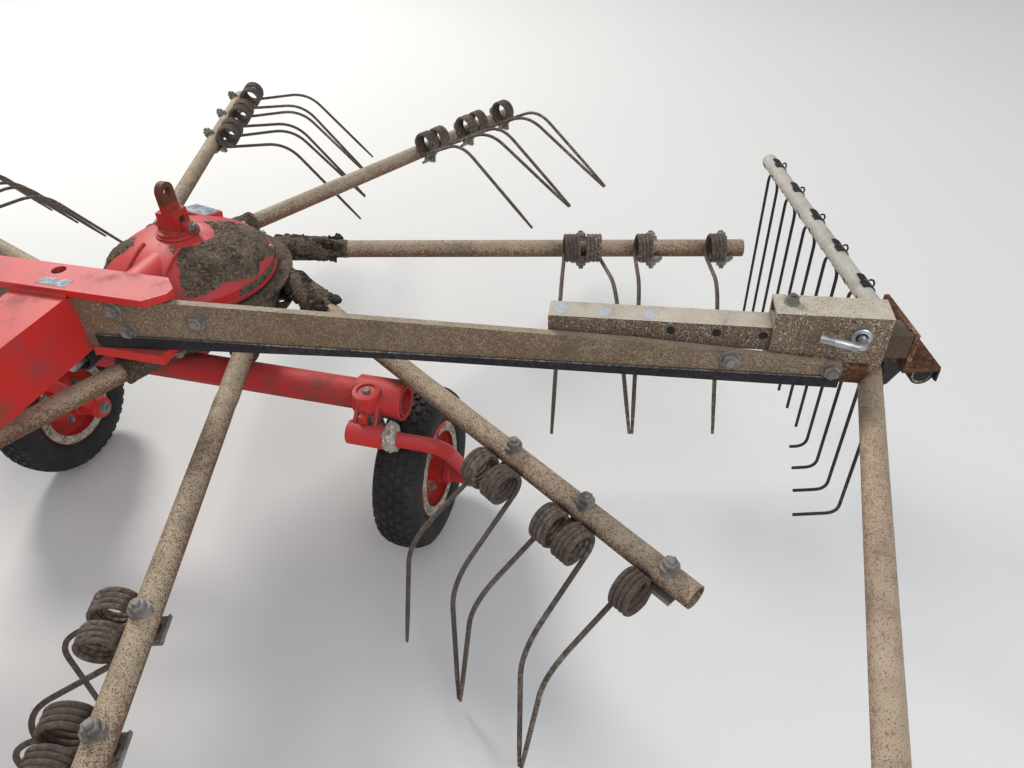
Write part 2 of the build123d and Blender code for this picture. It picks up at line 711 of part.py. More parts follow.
plate_low = SWATH_HEIGHT + SWATH_RADIUS + SEAT_GAP
plate_span = (SWATH_PLATE_START, SWATH_PLATE_REACH)
plate_inner = SWATH_PLATE_IN + SWATH_PLATE
with BuildPart() as swath_bracket:
    swath_plate(plate_span, (-SWATH_RADIUS, plate_inner), (plate_low, plate_low + SWATH_PLATE))
    swath_plate(plate_span, (SWATH_PLATE_IN, plate_inner), (plate_low, SWATH_PLATE_TOP))
save(swath_bracket, "swath_bracket")

clip_radius = SWATH_RADIUS + SEAT_GAP + SWATH_CLIP_WALL
wire_height = SWATH_HEIGHT - SWATH_RADIUS - SEAT_GAP - SWATH_ROD
with BuildPart() as swath_rods:
    for station in SWATH_STATIONS:
        rod(
            swath_at(station - SWATH_CLIP_LENGTH / 2, 0, SWATH_HEIGHT),
            swath_at(station + SWATH_CLIP_LENGTH / 2, 0, SWATH_HEIGHT),
            clip_radius,
            SWATH_RADIUS + SEAT_GAP,
        )
        legs = []
        for along in (station - SWATH_ROD_SPACING / 2, station + SWATH_ROD_SPACING / 2):
            spot = swath_at(along, 0, 0)
            room = hypot(spot[0], spot[1]) - ROTOR_SWEEP - SWATH_ROD
            toe = min(SWATH_TOE, room)
            low = SWATH_HEIGHT - SWATH_ROD_LENGTH
            leg = [swath_at(along, 0, wire_height), swath_at(along, 0, low)]
            if toe > SWATH_ROD_BEND:
                leg.append(swath_at(along, toe, low))
            legs.append(leg)
        bent_rod(legs[0][::-1] + legs[1], SWATH_ROD_BEND, SWATH_ROD)
save(swath_rods, "swath_rods")

# Guard tubes, round both sides to the main beam
guard_height = SLEEVE_BOTTOM - SEAT_GAP - GUARD_RADIUS
with BuildPart() as guard_left:
    bent_rod(
        [
            (-GUARD_REAR[0], GUARD_REAR[1], guard_height),
            (-GUARD_FRONT_X, GUARD_FRONT_Y, guard_height),
            (-BEAM_HALF_WIDTH - SEAT_GAP, GUARD_FRONT_Y, guard_height),
        ],
        GUARD_BEND,
        GUARD_RADIUS,
        GUARD_RADIUS - GUARD_WALL,
    )
save(guard_left, "guard_left")

with BuildPart() as guard_right:
    mirror(guard_left.part, about=Plane.YZ)
save(guard_right, "guard_right")

# Bracket on the right cross beam that carries the right guard's rear end
with BuildPart() as guard_bracket:
    corners = [
        cross_at(SLEEVE_START, CROSS_WALL + SEAT_GAP, 0),
        cross_at(SLEEVE_START + SLEEVE_LENGTH, CROSS_WALL + SEAT_GAP, 0),
        cross_at(SLEEVE_START + SLEEVE_LENGTH, sleeve_back + sleeve_width, 0),
        cross_at(SLEEVE_START, sleeve_back + sleeve_width, 0),
    ]
    with BuildSketch(Plane.XY.offset(SLEEVE_BOTTOM)):
        with BuildLine():
            Polyline([(-corner.X, corner.Y) for corner in corners], close=True)
        make_face()
    extrude(amount=RIGHT_BRACKET)
save(guard_bracket, "guard_bracket_right")

# Axle tube
with BuildPart() as axle_tube:
    rod(
        (AXLE_LEFT, AXLE_Y, AXLE_HEIGHT),
        (AXLE_RIGHT, AXLE_Y, AXLE_HEIGHT),
        AXLE_RADIUS,
        AXLE_RADIUS - AXLE_WALL,
    )
save(axle_tube, "axle_tube")

# Castings, cranks and wheels, the same hand on both sides
for side, shift in (("left", 0.0), ("right", WHEEL_SHIFT)):
    casting_x = CASTING_X + shift
    with BuildPart() as casting:
        rod(
            (casting_x - CASTING_HALF, AXLE_Y, AXLE_HEIGHT),
            (casting_x + CASTING_HALF, AXLE_Y, AXLE_HEIGHT),
            AXLE_RADIUS + SEAT_GAP + CASTING_WALL,
        )
        rod(
            (CRANK_SLEEVE_END + shift, CRANK_Y, CRANK_HEIGHT),
            (casting_x + CASTING_HALF, CRANK_Y, CRANK_HEIGHT),
            CRANK_RADIUS + SEAT_GAP + CRANK_SLEEVE_WALL,
        )
        rod(
            (casting_x, AXLE_Y + AXLE_RADIUS, CRANK_HEIGHT - CRANK_RADIUS),
            (casting_x, AXLE_Y + AXLE_RADIUS, CASTING_BOSS_TOP),
            CASTING_BOSS_RADIUS,
        )
        block(
            (casting_x - CASTING_WALL, AXLE_Y, CRANK_HEIGHT),
            (casting_x + CASTING_WALL, CRANK_Y, AXLE_HEIGHT),
        )
        rod(
            (casting_x - 2 * CASTING_HALF, AXLE_Y, AXLE_HEIGHT),
            (casting_x + 2 * CASTING_HALF, AXLE_Y, AXLE_HEIGHT),
            AXLE_RADIUS + SEAT_GAP,
            mode=Mode.SUBTRACT,
        )
        rod(
            (CRANK_SLEEVE_END + shift - CUT_PAST, CRANK_Y, CRANK_HEIGHT),
            (casting_x + CASTING_HALF + CUT_PAST, CRANK_Y, CRANK_HEIGHT),
            CRANK_RADIUS + SEAT_GAP,
            mode=Mode.SUBTRACT,
        )
    save(casting, f"axle_casting_{side}")

    with BuildPart() as crank:
        crank_x = CRANK_OUT + shift
        bent_rod(
            [
                (casting_x + CASTING_HALF, CRANK_Y, CRANK_HEIGHT),
                (crank_x, CRANK_Y, CRANK_HEIGHT),
                (crank_x, WHEEL_Y, TYRE_RADIUS),
            ],
            CRANK_BEND,
            CRANK_RADIUS,
        )
        inner_face = WHEEL_X + shift - HUB_HALF - SLIDE_GAP
        rod((WHEEL_BOSS_END + shift, WHEEL_Y, TYRE_RADIUS), (inner_face, WHEEL_Y, TYRE_RADIUS), WHEEL_BOSS_RADIUS)
        rod(
            (inner_face, WHEEL_Y, TYRE_RADIUS),
            (WHEEL_X + shift + HUB_HALF + STUB_RADIUS, WHEEL_Y, TYRE_RADIUS),
            STUB_RADIUS,
        )
    save(crank, f"crank_{side}")

    wheel_plane = Plane(origin=(WHEEL_X + shift, WHEEL_Y, TYRE_RADIUS), x_dir=(1, 0, 0), z_dir=(0, -1, 0))
    wheel_axis = Axis((WHEEL_X + shift, WHEEL_Y, TYRE_RADIUS), (1, 0, 0))
    with BuildPart() as rim:
        with BuildSketch(wheel_plane):
            with Locations((0, (RIM_SEAT - RIM_WALL / 2))):
                Rectangle(2 * RIM_HALF_WIDTH, RIM_WALL)
            for edge in (-1, 1):
                with Locations((edge * (RIM_HALF_WIDTH + RIM_WALL / 2), (RIM_FLANGE + RIM_SEAT - RIM_WALL) / 2)):
                    Rectangle(RIM_WALL, RIM_FLANGE - RIM_SEAT + RIM_WALL)
            with Locations((0, (RIM_SEAT + STUB_RADIUS) / 2)):
                Rectangle(RIM_WALL, RIM_SEAT - STUB_RADIUS - RIM_WALL)
            with Locations((0, (HUB_RADIUS + STUB_RADIUS + RUN_GAP) / 2)):
                Rectangle(2 * HUB_HALF, HUB_RADIUS - STUB_RADIUS - RUN_GAP)
        revolve(axis=wheel_axis)
    save(rim, f"rim_{side}")

    with BuildPart() as tyre:
        bead = RIM_SEAT + SEAT_GAP
        inside = RIM_HALF_WIDTH - SEAT_GAP
        shoulder = (TYRE_HALF_WIDTH - TYRE_SHOULDER_IN, TYRE_RADIUS - TYRE_CROWN)
        far_shoulder = (-shoulder[0], shoulder[1])
        with BuildSketch(wheel_plane):
            with BuildLine():
                Polyline((-inside, RIM_FLANGE + TYRE_BEAD), (-inside, bead), (inside, bead), (inside, RIM_FLANGE + TYRE_BEAD))
                ThreePointArc(
                    (inside, RIM_FLANGE + TYRE_BEAD),
                    (TYRE_HALF_WIDTH, (RIM_FLANGE + TYRE_RADIUS) / 2),
                    shoulder,
                )
                ThreePointArc(
                    shoulder,
                    (0, TYRE_RADIUS),
                    far_shoulder,
                )
                ThreePointArc(
                    far_shoulder,
                    (-TYRE_HALF_WIDTH, (RIM_FLANGE + TYRE_RADIUS) / 2),
                    (-inside, RIM_FLANGE + TYRE_BEAD),
                )
            make_face()
        revolve(axis=wheel_axis)
    save(tyre, f"tyre_{side}")

# Swivel pin of the headstock
with BuildPart() as swivel_pin:
    pin_low = BEAM_BOTTOM - SWIVEL_LUG
    rod((0, SWIVEL_Y, pin_low), (0, SWIVEL_Y, BEAM_TOP + SWIVEL_LUG), SWIVEL_PIN)
    rod((0, SWIVEL_Y, BEAM_TOP + SEAT_GAP), (0, SWIVEL_Y, BEAM_TOP + SWIVEL_LUG), SWIVEL_PIN + SWIVEL_LUG)
save(swivel_pin, "swivel_pin")

# Headstock: swivel tube, mast and link beam
swivel_low = BEAM_BOTTOM + SWIVEL_LUG + SWIVEL_CLEARANCE
swivel_top = BEAM_TOP - SWIVEL_LUG - SWIVEL_CLEARANCE
mast_rear = MAST_Y - MAST_DEPTH / 2
top_link_height = LINK_HEIGHT + TOP_LINK_RISE
ear_out = TOP_LINK_GAP / 2 + TOP_LINK_EAR
with BuildPart() as headstock:
    rod((0, SWIVEL_Y, swivel_low), (0, SWIVEL_Y, swivel_top), SWIVEL_TUBE)
    block((-MAST_HEAD_HALF, SWIVEL_Y, swivel_low), (MAST_HEAD_HALF, mast_rear, swivel_top))
    block((-MAST_FOOT_HALF, mast_rear, swivel_low), (MAST_FOOT_HALF, MAST_Y + MAST_DEPTH / 2, swivel_top))
    link_half = LINK_SPREAD / 2
    block(
        (-link_half, MAST_Y - LINK_BEAM / 2, LINK_HEIGHT - LINK_BEAM / 2),
        (link_half, MAST_Y + LINK_BEAM / 2, LINK_HEIGHT + LINK_BEAM / 2),
    )
    for hand in (-1, 1):
        foot = hand * MAST_FOOT_HALF
        with BuildSketch(Plane.XZ.offset(-mast_rear)):
            with BuildLine():
                Polyline(
                    (foot - hand * MAST_BAR, LINK_HEIGHT),
                    (foot, LINK_HEIGHT),
                    (hand * ear_out, top_link_height + TOP_LINK_HEAD),
                    (hand * TOP_LINK_GAP / 2, top_link_height + TOP_LINK_HEAD),
                    (hand * TOP_LINK_GAP / 2, top_link_height - TOP_LINK_SLOT),
                    close=True,
                )
            make_face()
        extrude(amount=-MAST_DEPTH)
        rod(
            (hand * TOP_LINK_GAP / 2, MAST_Y, top_link_height),
            (hand * (ear_out + TOP_LINK_STUB), MAST_Y, top_link_height),
            TOP_LINK_BOSS,
        )
    rod(
        (0, SWIVEL_Y, swivel_low - CUT_PAST),
        (0, SWIVEL_Y, swivel_top + CUT_PAST),
        SWIVEL_PIN + RUN_GAP,
        mode=Mode.SUBTRACT,
    )
    rod(
        (-2 * ear_out, MAST_Y, top_link_height),
        (2 * ear_out, MAST_Y, top_link_height),
        TOP_LINK_HOLE,
        mode=Mode.SUBTRACT,
    )
save(headstock, "headstock")

with BuildPart() as link_pins:
    for hand in (-1, 1):
        rod(
            (hand * (link_half + SEAT_GAP), MAST_Y, LINK_HEIGHT),
            (hand * (link_half + LINK_PIN_LENGTH), MAST_Y, LINK_HEIGHT),
            LINK_PIN,
        )
save(link_pins, "lower_link_pins")

# Parking stand: guide on the beam's right side, leg and foot
guide_half = STAND_SIZE / 2 + SLIDE_GAP + STAND_GUIDE_WALL
stand_x = BEAM_HALF_WIDTH + guide_half
with BuildPart() as stand_guide:
    with BuildSketch(Plane.XY.offset(BEAM_BOTTOM)):
        with Locations((stand_x, STAND_Y)):
            Rectangle(2 * guide_half, 2 * guide_half)
            Rectangle(STAND_SIZE + 2 * SLIDE_GAP, STAND_SIZE + 2 * SLIDE_GAP, mode=Mode.SUBTRACT)
    extrude(amount=BEAM_TOP - BEAM_BOTTOM)
save(stand_guide, "stand_guide")

with BuildPart() as stand_leg:
    with BuildSketch(Plane.XY.offset(STAND_FOOT_PLATE)):
        with Locations((stand_x, STAND_Y)):
            Rectangle(STAND_SIZE, STAND_SIZE)
            Rectangle(STAND_SIZE - 2 * STAND_WALL, STAND_SIZE - 2 * STAND_WALL, mode=Mode.SUBTRACT)
    extrude(amount=STAND_TOP - STAND_FOOT_PLATE)
save(stand_leg, "stand_leg")

with BuildPart() as stand_foot:
    block(
        (stand_x - STAND_FOOT / 2, STAND_Y - STAND_FOOT / 2, 0),
        (stand_x + STAND_FOOT / 2, STAND_Y + STAND_FOOT / 2, STAND_FOOT_PLATE),
    )
save(stand_foot, "stand_foot")
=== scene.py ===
import json
from math import atan2, cos, hypot, pi, radians, sin

import bmesh
import bpy
from bpy.props import FloatProperty, FloatVectorProperty, IntProperty, PointerProperty
from bpy.types import Operator, Panel, PropertyGroup
from mathutils import Matrix, Vector, noise

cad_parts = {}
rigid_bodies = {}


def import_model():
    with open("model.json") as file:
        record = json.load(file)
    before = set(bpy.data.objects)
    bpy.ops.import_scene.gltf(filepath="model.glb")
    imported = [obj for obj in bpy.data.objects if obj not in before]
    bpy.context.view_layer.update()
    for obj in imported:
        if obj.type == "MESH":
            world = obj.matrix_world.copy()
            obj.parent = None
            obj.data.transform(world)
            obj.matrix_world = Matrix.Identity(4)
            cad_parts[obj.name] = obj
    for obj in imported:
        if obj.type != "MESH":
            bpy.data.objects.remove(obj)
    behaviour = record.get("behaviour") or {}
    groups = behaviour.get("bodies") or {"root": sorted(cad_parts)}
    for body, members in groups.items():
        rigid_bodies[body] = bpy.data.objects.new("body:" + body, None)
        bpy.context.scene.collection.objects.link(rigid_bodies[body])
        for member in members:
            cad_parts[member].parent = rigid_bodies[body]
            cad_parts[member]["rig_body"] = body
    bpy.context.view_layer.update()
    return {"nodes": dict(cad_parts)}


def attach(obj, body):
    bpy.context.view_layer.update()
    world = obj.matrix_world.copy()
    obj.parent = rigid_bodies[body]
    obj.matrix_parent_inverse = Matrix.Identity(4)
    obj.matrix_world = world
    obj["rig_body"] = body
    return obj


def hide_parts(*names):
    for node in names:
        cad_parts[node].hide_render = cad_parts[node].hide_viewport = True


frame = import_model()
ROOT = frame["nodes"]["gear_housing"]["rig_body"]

bl_info = {
    "name": "Rotary Rake",
    "version": (1, 0, 0),
    "blender": (4, 5, 0),
    "location": "View3D > Sidebar > Rake",
    "description": "Dresses the packed rotary rake with its tines, tyres, fittings, dirt and worn finishes",
    "category": "Object",
}

# Arms: name, direction from +X, droop, roll at rest, tines missing
ARMS = (
    ("a", -71.1, 0.0, 32.0, ()),
    ("b", -115.3, 1.0, 55.0, (5,)),
    ("c", -164.8, 1.5, 42.0, (3, 5)),
    ("d", 148.0, 2.0, 0.0, (5,)),
    ("e", 108.1, 0.0, 0.0, ()),
    ("f", 65.0, 0.0, 0.0, ()),
    ("g", 22.0, 0.0, 0.0, ()),
    ("h", -21.0, 0.0, 30.0, ()),
)
ARM_HEIGHT = 0.520
ARM_OFFSET = 0.173
ARM_ROOT = 0.020
ARM_REACH = 1.320
ARM_RADIUS = 0.0212
ARM_WALL = 0.0036
DENT_MIDDLE = 0.416
DENT_REACH = 0.055
DENT_DEPTH = 0.007
SOCKET_RADIUS = 0.029
SOCKET_REACH = 0.275
TINE_SPACING = 0.088
PAIR_MIDDLES = (0.915, 1.091, 1.267)
COIL_TRAIL = 0.057
COIL_DROP = 0.012
COIL_TURNS = 4
COIL_PITCH = 0.0090
LOOP_DROP = 0.0262
KNEE = Vector((0.016, -0.204, -0.130))
KNEE_BEND = 0.062
TIP = Vector((0.040, -0.231, -0.462))

# Dome of the gear housing and the rotor's carrier under it
DOME_RADIUS = 0.192
DOME_LOW = 0.555
DOME_RIM = 0.582
DOME_TOP = 0.660
DOME_TOP_RADIUS = 0.055
DOME_SHOULDER = (0.154, 0.621)
CARRIER_RADIUS = 0.228
CARRIER_TOP = 0.549

# Turning dirt nearer the axis than the radius stays below the height, 5 mm clear of the housing
PASSING_RADIUS = 0.320
PASSING_HEIGHT = 0.550

# Wheels: name, middle of the tyre, shift of the whole assembly
WHEELS = (("left", -0.580, 0.0), ("right", 0.435, 1.015))
WHEEL_Y = 0.130
TYRE_RADIUS = 0.190
RIM_SEAT = 0.101
CASTING_X = -0.520
CRANK_END = -0.716

# Cross beam: its frame, its bolts and its lower lip as (along, bottom, top)
CROSS_SWEEP = radians(7.0)
CROSS_ROOT = Vector((-0.0603, 0.380, 0))
CROSS_BOLTS = ((0.232, 0.701), (1.160, 0.693), (1.320, 0.684), (0.075, 0.715), (0.090, 0.672))
CROSS_LIP = (
    (0.020, 0.6306, 0.6590), (0.213, 0.6366, 0.6598), (0.457, 0.6441, 0.6612), (0.585, 0.6480, 0.6625),
    (0.860, 0.6487, 0.6660), (1.145, 0.6494, 0.6690), (1.335, 0.6500, 0.6712),
)
SLEEVE_BACK = 0.0138
SLEEVE_BOTTOM = 0.6715
SLEEVE_TOP = 0.777
LOCK_ALONG = 1.355
LOCK_HEIGHT = 0.741
SLIDE_BACK = 0.0203
SLIDE_TOP = 0.745

# Swath former
SWATH_FRONT = Vector((-1.520, 0.159, 0.655))
SWATH_REAR = Vector((-1.262, -0.660, 0.655))
SWATH_RADIUS = 0.017
SWATH_STATIONS = (0.130, 0.265, 0.400, 0.535, 0.670, 0.805)
ROD_SPACING = 0.0675
ROD_RADIUS = 0.0035
ROD_LENGTH = 0.450
ROD_BEND = 0.025
ROD_TOE = 0.110
ROTOR_SWEEP = 1.396

# Guard tubes, headstock, stand and input
GUARD_HEIGHT = 0.65225
GUARD_CLAMPS = (0.085, 0.145)
GUARD_FRONT = 1.300
LINK_PIN_Y = 1.640
LINK_PIN_HEIGHT = 0.430
STAND_X = 0.0855
STAND_Y = 1.445
INPUT_HEIGHT = 0.586

# Camera of the photograph: its place, its lens in mm and its angles
CAMERA_PLACE = (-1.160, 1.288, 1.470)
CAMERA_LENS = 27.15
CAMERA_PITCH = radians(39.35)
CAMERA_ROLL = radians(2.37)
CAMERA_AZIMUTH = radians(-73.0)


def length_property(name, description, default, low, high):
    """Length in metres for a property group."""
    return FloatProperty(
        name=name, description=description, default=default, min=low, max=high, unit="LENGTH"
    )


def colour_property(name, description, default):
    """Colour for a property group."""
    return FloatVectorProperty(
        name=name, description=description, default=default, subtype="COLOR", min=0, max=1
    )


class RakeSizes(PropertyGroup):
    """Sizes of the pieces that dress the rake."""

    wire: length_property("Tine wire", "Radius of the spring wire", 0.0047, 0.003, 0.006)
    coil: length_property("Coil", "Mean radius of a tine's coil", 0.030, 0.02, 0.04)
    tread: length_property("Tread depth", "Height of the tyre's blocks", 0.006, 0.002, 0.01)
    blocks: IntProperty(
        name="Tread blocks", description="Blocks round a tyre in one row", default=42, min=20, max=80
    )
    dirt: length_property("Dirt", "Thickness of the caked dirt", 0.011, 0.0, 0.03)


class RakeColours(PropertyGroup):
    """Colours of the rake's finishes."""

    red: colour_property("Red paint", "Paint on its sides", (0.62, 0.028, 0.022))
    faded: colour_property("Faded red", "Paint on its tops", (0.50, 0.052, 0.056))
    beige: colour_property("Beige paint", "Worn paint of the tubes", (0.36, 0.295, 0.21))
    white: colour_property("White paint", "Paint of the swath former", (0.40, 0.375, 0.335))
    rust: colour_property("Rust", "Rust that shows through paint", (0.19, 0.075, 0.030))
    mud: colour_property("Dirt", "Dried dirt", (0.105, 0.078, 0.056))
    rubber: colour_property("Rubber", "Tyres", (0.018, 0.018, 0.018))
    zinc: colour_property("Zinc", "Plated pins and bolts", (0.55, 0.57, 0.60))


# Finishes


# The CAD's plain materials have the slots' names, so a finish has this before its name
LOOK = "look_"


class Finish:
    """A procedural material and the nodes it is made of."""

    def __init__(self, name):
        self.material = bpy.data.materials.new(LOOK + name)
        self.material.use_nodes = True
        self.tree = self.material.node_tree
        self.shader = self.tree.nodes["Principled BSDF"]
        self.shader.inputs["Specular IOR Level"].default_value = 0.3
        self.place = self.tree.nodes.new("ShaderNodeTexCoord")

    def node(self, kind, **inputs):
        """New node with its sockets set by name, or linked where the value is a socket."""
        made = self.tree.nodes.new(kind)
        for key, value in inputs.items():
            self.feed(made.inputs[key.replace("_", " ")], value)
        return made

    def feed(self, socket, value):
        if isinstance(value, bpy.types.NodeSocket):
            self.tree.links.new(value, socket)
        else:
            socket.default_value = value

    def noise(self, scale, detail=3.0, rough=0.5, stretch=None):
        """Noise in the piece's own coordinates, 0 to 1."""
        place = self.place.outputs["Object"]
        if stretch:
            mapping = self.node("ShaderNodeMapping", Vector=place, Scale=stretch)
            place = mapping.outputs["Vector"]
        made = self.node("ShaderNodeTexNoise", Vector=place, Scale=scale, Detail=detail, Roughness=rough)
        return made.outputs["Fac"]

    def step(self, value, low, high):
        """0 below low, 1 above high and a smooth rise between."""
        made = self.node("ShaderNodeMapRange", Value=value)
        made.interpolation_type = "SMOOTHSTEP"
        made.inputs["From Min"].default_value = low
        made.inputs["From Max"].default_value = high
        return made.outputs["Result"]

    def maths(self, operation, first, second, clamp=True):
        made = self.tree.nodes.new("ShaderNodeMath")
        made.operation = operation
        made.use_clamp = clamp
        self.feed(made.inputs[0], first)
        self.feed(made.inputs[1], second)
        return made.outputs["Value"]

    def times(self, first, second, clamp=True):
        return self.maths("MULTIPLY", first, second, clamp)

    def plus(self, first, second, clamp=True):
        return self.maths("ADD", first, second, clamp)

    def minus(self, first, second):
        return self.maths("SUBTRACT", first, second)

    def most(self, first, second):
        return self.maths("MAXIMUM", first, second)

    def mix(self, share, first, second):
        """Colour between first and second."""
        made = self.tree.nodes.new("ShaderNodeMix")
        made.data_type = "RGBA"
        self.feed(made.inputs["Factor"], share)
        for key, part in (("A", first), ("B", second)):
            self.feed(made.inputs[key], part if isinstance(part, bpy.types.NodeSocket) else (*part, 1))
        return made.outputs["Result"]

    def upward(self, low=0.3, high=0.85):
        """1 on faces that look up."""
        parts = self.node("ShaderNodeSeparateXYZ", Vector=self.place.outputs["Normal"])
        return self.step(parts.outputs["Z"], low, high)

    def beyond(self, axis, low, high):
        """1 past a place along an axis of the frame, with a ragged border."""
        parts = self.node("ShaderNodeSeparateXYZ", Vector=self.place.outputs["Object"])
        ragged = self.times(self.noise(30.0, 5.0, 0.7), 0.04, False)
        return self.step(self.plus(parts.outputs[axis], ragged, False), low + 0.02, high + 0.02)

    def stained_and_shaded(self, colour, stain_and_shade):
        """Colour darkened past a place along an axis: real rust on the lug, a painted shadow on the slide.
        Given as an axis, where it begins, where it is full and its own colour.
        """
        if not stain_and_shade:
            return colour
        return self.mix(self.times(self.beyond(*stain_and_shade[:3]), 0.9), colour, stain_and_shade[3])

    def corners(self, reach, low=0.15, high=0.75):
        """1 in corners and close gaps."""
        made = self.tree.nodes.new("ShaderNodeAmbientOcclusion")
        made.samples = 6
        made.inputs["Distance"].default_value = reach
        return self.step(self.minus(1.0, made.outputs["AO"]), low, high)

    def relief(self, height, strength, distance):
        made = self.node("ShaderNodeBump", Height=height, Strength=strength, Distance=distance)
        self.feed(self.shader.inputs["Normal"], made.outputs["Normal"])

    def close(self, colour, rough, metallic=None):
        self.feed(self.shader.inputs["Base Color"], colour)
        self.feed(self.shader.inputs["Roughness"], rough)
        if metallic is not None:
            self.feed(self.shader.inputs["Metallic"], metallic)
        return self.material


def tone(colour, share):
    """A darker or lighter tone of a colour."""
    return tuple(min(1.0, part * share) for part in colour)


def painted(name, side, top, rust, mud, chips=0.62, speckle=0.66, grime=0.5, gloss=0.52, stain_and_shade=None):
    """Old paint: faded on top, speckled and chipped to rust, with patches of dirt and a painted shade in the
    corners in the colour of dirt.
    """
    finish = Finish(name)
    broad = finish.noise(3.2, 4.0, 0.55)
    cloud = finish.noise(14.0, 4.0, 0.6)
    fine = finish.noise(420.0, 3.0, 0.65)
    grain = finish.noise(150.0, 5.0, 0.72)
    fade = finish.times(finish.upward(0.1, 0.8), finish.step(broad, 0.18, 0.62))
    paint = finish.mix(fade, side, top)
    paint = finish.mix(finish.step(cloud, 0.42, 0.75), paint, tone(top, 0.86))
    chip = finish.step(grain, chips, chips + 0.05)
    dot = finish.times(finish.step(fine, speckle, speckle + 0.06), finish.step(cloud, 0.38, 0.62))
    bare = finish.most(finish.times(chip, finish.step(broad, 0.45, 0.6)), dot)
    rusty = finish.mix(finish.step(fine, 0.3, 0.7), tone(rust, 0.55), tone(rust, 1.35))
    colour = finish.mix(bare, paint, rusty)
    # Painted shade: an ambient occlusion mask darkens corners and close gaps, in patches, to the colour of
    # dirt
    dust_and_corner_shade = finish.times(finish.corners(0.035), finish.step(cloud, 0.25, 0.55))
    film = finish.times(finish.step(finish.noise(7.0, 6.0, 0.7), 0.5, 0.72), grime)
    # One mask for the real dirt film and the painted shade in the corners
    dirt_and_shade = finish.most(dust_and_corner_shade, film)
    colour = finish.mix(finish.times(dirt_and_shade, 0.85), colour, mud)
    colour = finish.stained_and_shaded(colour, stain_and_shade)
    rough = finish.plus(gloss, finish.times(finish.most(bare, dirt_and_shade), 0.4))
    rise = finish.minus(finish.times(fine, 0.4), finish.times(bare, 0.3))
    finish.relief(rise, 0.35, 0.0012)
    return finish.close(colour, rough)


def rusted(name, light, dark, paint, amount=0.5, gloss=0.62, metallic=None):
    """Rust with flakes of old paint left on it."""
    finish = Finish(name)
    broad = finish.noise(5.0, 5.0, 0.6)
    grain = finish.noise(120.0, 6.0, 0.75)
    fine = finish.noise(520.0, 3.0, 0.6)
    colour = finish.mix(finish.step(broad, 0.3, 0.7), dark, light)
    colour = finish.mix(finish.step(grain, 0.35, 0.65), tone(dark, 0.6), colour)
    bare = 1 - amount
    flakes = finish.times(finish.step(grain, 0.5, 0.56), finish.step(broad, bare - 0.12, bare + 0.12))
    colour = finish.mix(flakes, colour, paint)
    rough = finish.minus(gloss + 0.18, finish.times(flakes, 0.25))
    finish.relief(finish.plus(finish.times(grain, 0.7), finish.times(fine, 0.3)), 0.35, 0.001)
    return finish.close(colour, rough, metallic)


def speckled(name, paint, pale, rust, mud, rusting=0.5, grain=1.6, sides=0.11, stain_and_shade=None):
    """Light paint worn through in thousands of rusty specks, more so underneath."""
    finish = Finish(name)
    broad = finish.noise(4.0, 4.0, 0.6)
    cloud = finish.noise(22.0, 5.0, 0.65)
    speck = finish.noise(300.0 * grain, 2.0, 0.6)
    pit = finish.noise(90.0 * grain, 6.0, 0.75)
    under = finish.minus(1.0, finish.upward(-0.35, 0.75))
    colour = finish.mix(finish.step(cloud, 0.3, 0.75), paint, pale)
    # Undersides and sides get more specks by the side weight; where the weight is high, as on the slide, this
    # paints shade on the sides
    wear_and_side_shade = finish.plus(finish.times(under, sides), finish.times(broad, 0.16))
    threshold = finish.minus(0.80 - 0.16 * rusting, wear_and_side_shade)
    above = finish.minus(speck, threshold)
    specks = finish.times(above, 14.0)
    patches = finish.step(finish.minus(pit, threshold), 0.0, 0.07)
    bare = finish.most(specks, finish.times(patches, 0.8))
    rusty = finish.mix(finish.step(pit, 0.35, 0.65), tone(rust, 0.5), tone(rust, 1.25))
    colour = finish.mix(bare, colour, rusty)
    smear_and_shade = finish.times(finish.step(finish.noise(9.0, 5.0, 0.65), 0.48, 0.72), 0.6)
    # Painted shade: an ambient occlusion mask darkens corners and close gaps to the colour of dirt, along
    # with the smears
    smear_and_shade = finish.most(smear_and_shade, finish.corners(0.03, 0.25, 0.85))
    colour = finish.mix(finish.times(smear_and_shade, 0.8), colour, mud)
    colour = finish.stained_and_shaded(colour, stain_and_shade)
    rough = finish.plus(0.6, finish.times(bare, 0.3))
    finish.relief(finish.minus(0.6, finish.times(bare, 0.5)), 0.4, 0.0008)
    return finish.close(colour, rough)


def caked(name, mud):
    """Dried dirt with straw and grit in it."""
    finish = Finish(name)
    lumps = finish.noise(28.0, 8.0, 0.75)
    grit = finish.noise(160.0, 6.0, 0.8)
    straw = finish.noise(60.0, 2.0, 0.5, (1.0, 6.0, 3.0))
    colour = finish.mix(finish.step(lumps, 0.35, 0.65), tone(mud, 0.35), tone(mud, 1.3))
    colour = finish.mix(finish.step(grit, 0.5, 0.62), colour, tone(mud, 2.3))
    colour = finish.mix(finish.step(straw, 0.68, 0.72), colour, (0.36, 0.28, 0.15))
    # Painted shade: the crust's crevices, found by ambient occlusion, darken almost to black
    colour = finish.mix(finish.corners(0.015, 0.3, 0.9), colour, tone(mud, 0.22))
    finish.relief(finish.plus(finish.times(lumps, 0.6), finish.times(grit, 0.4)), 0.9, 0.005)
    return finish.close(colour, 0.95)


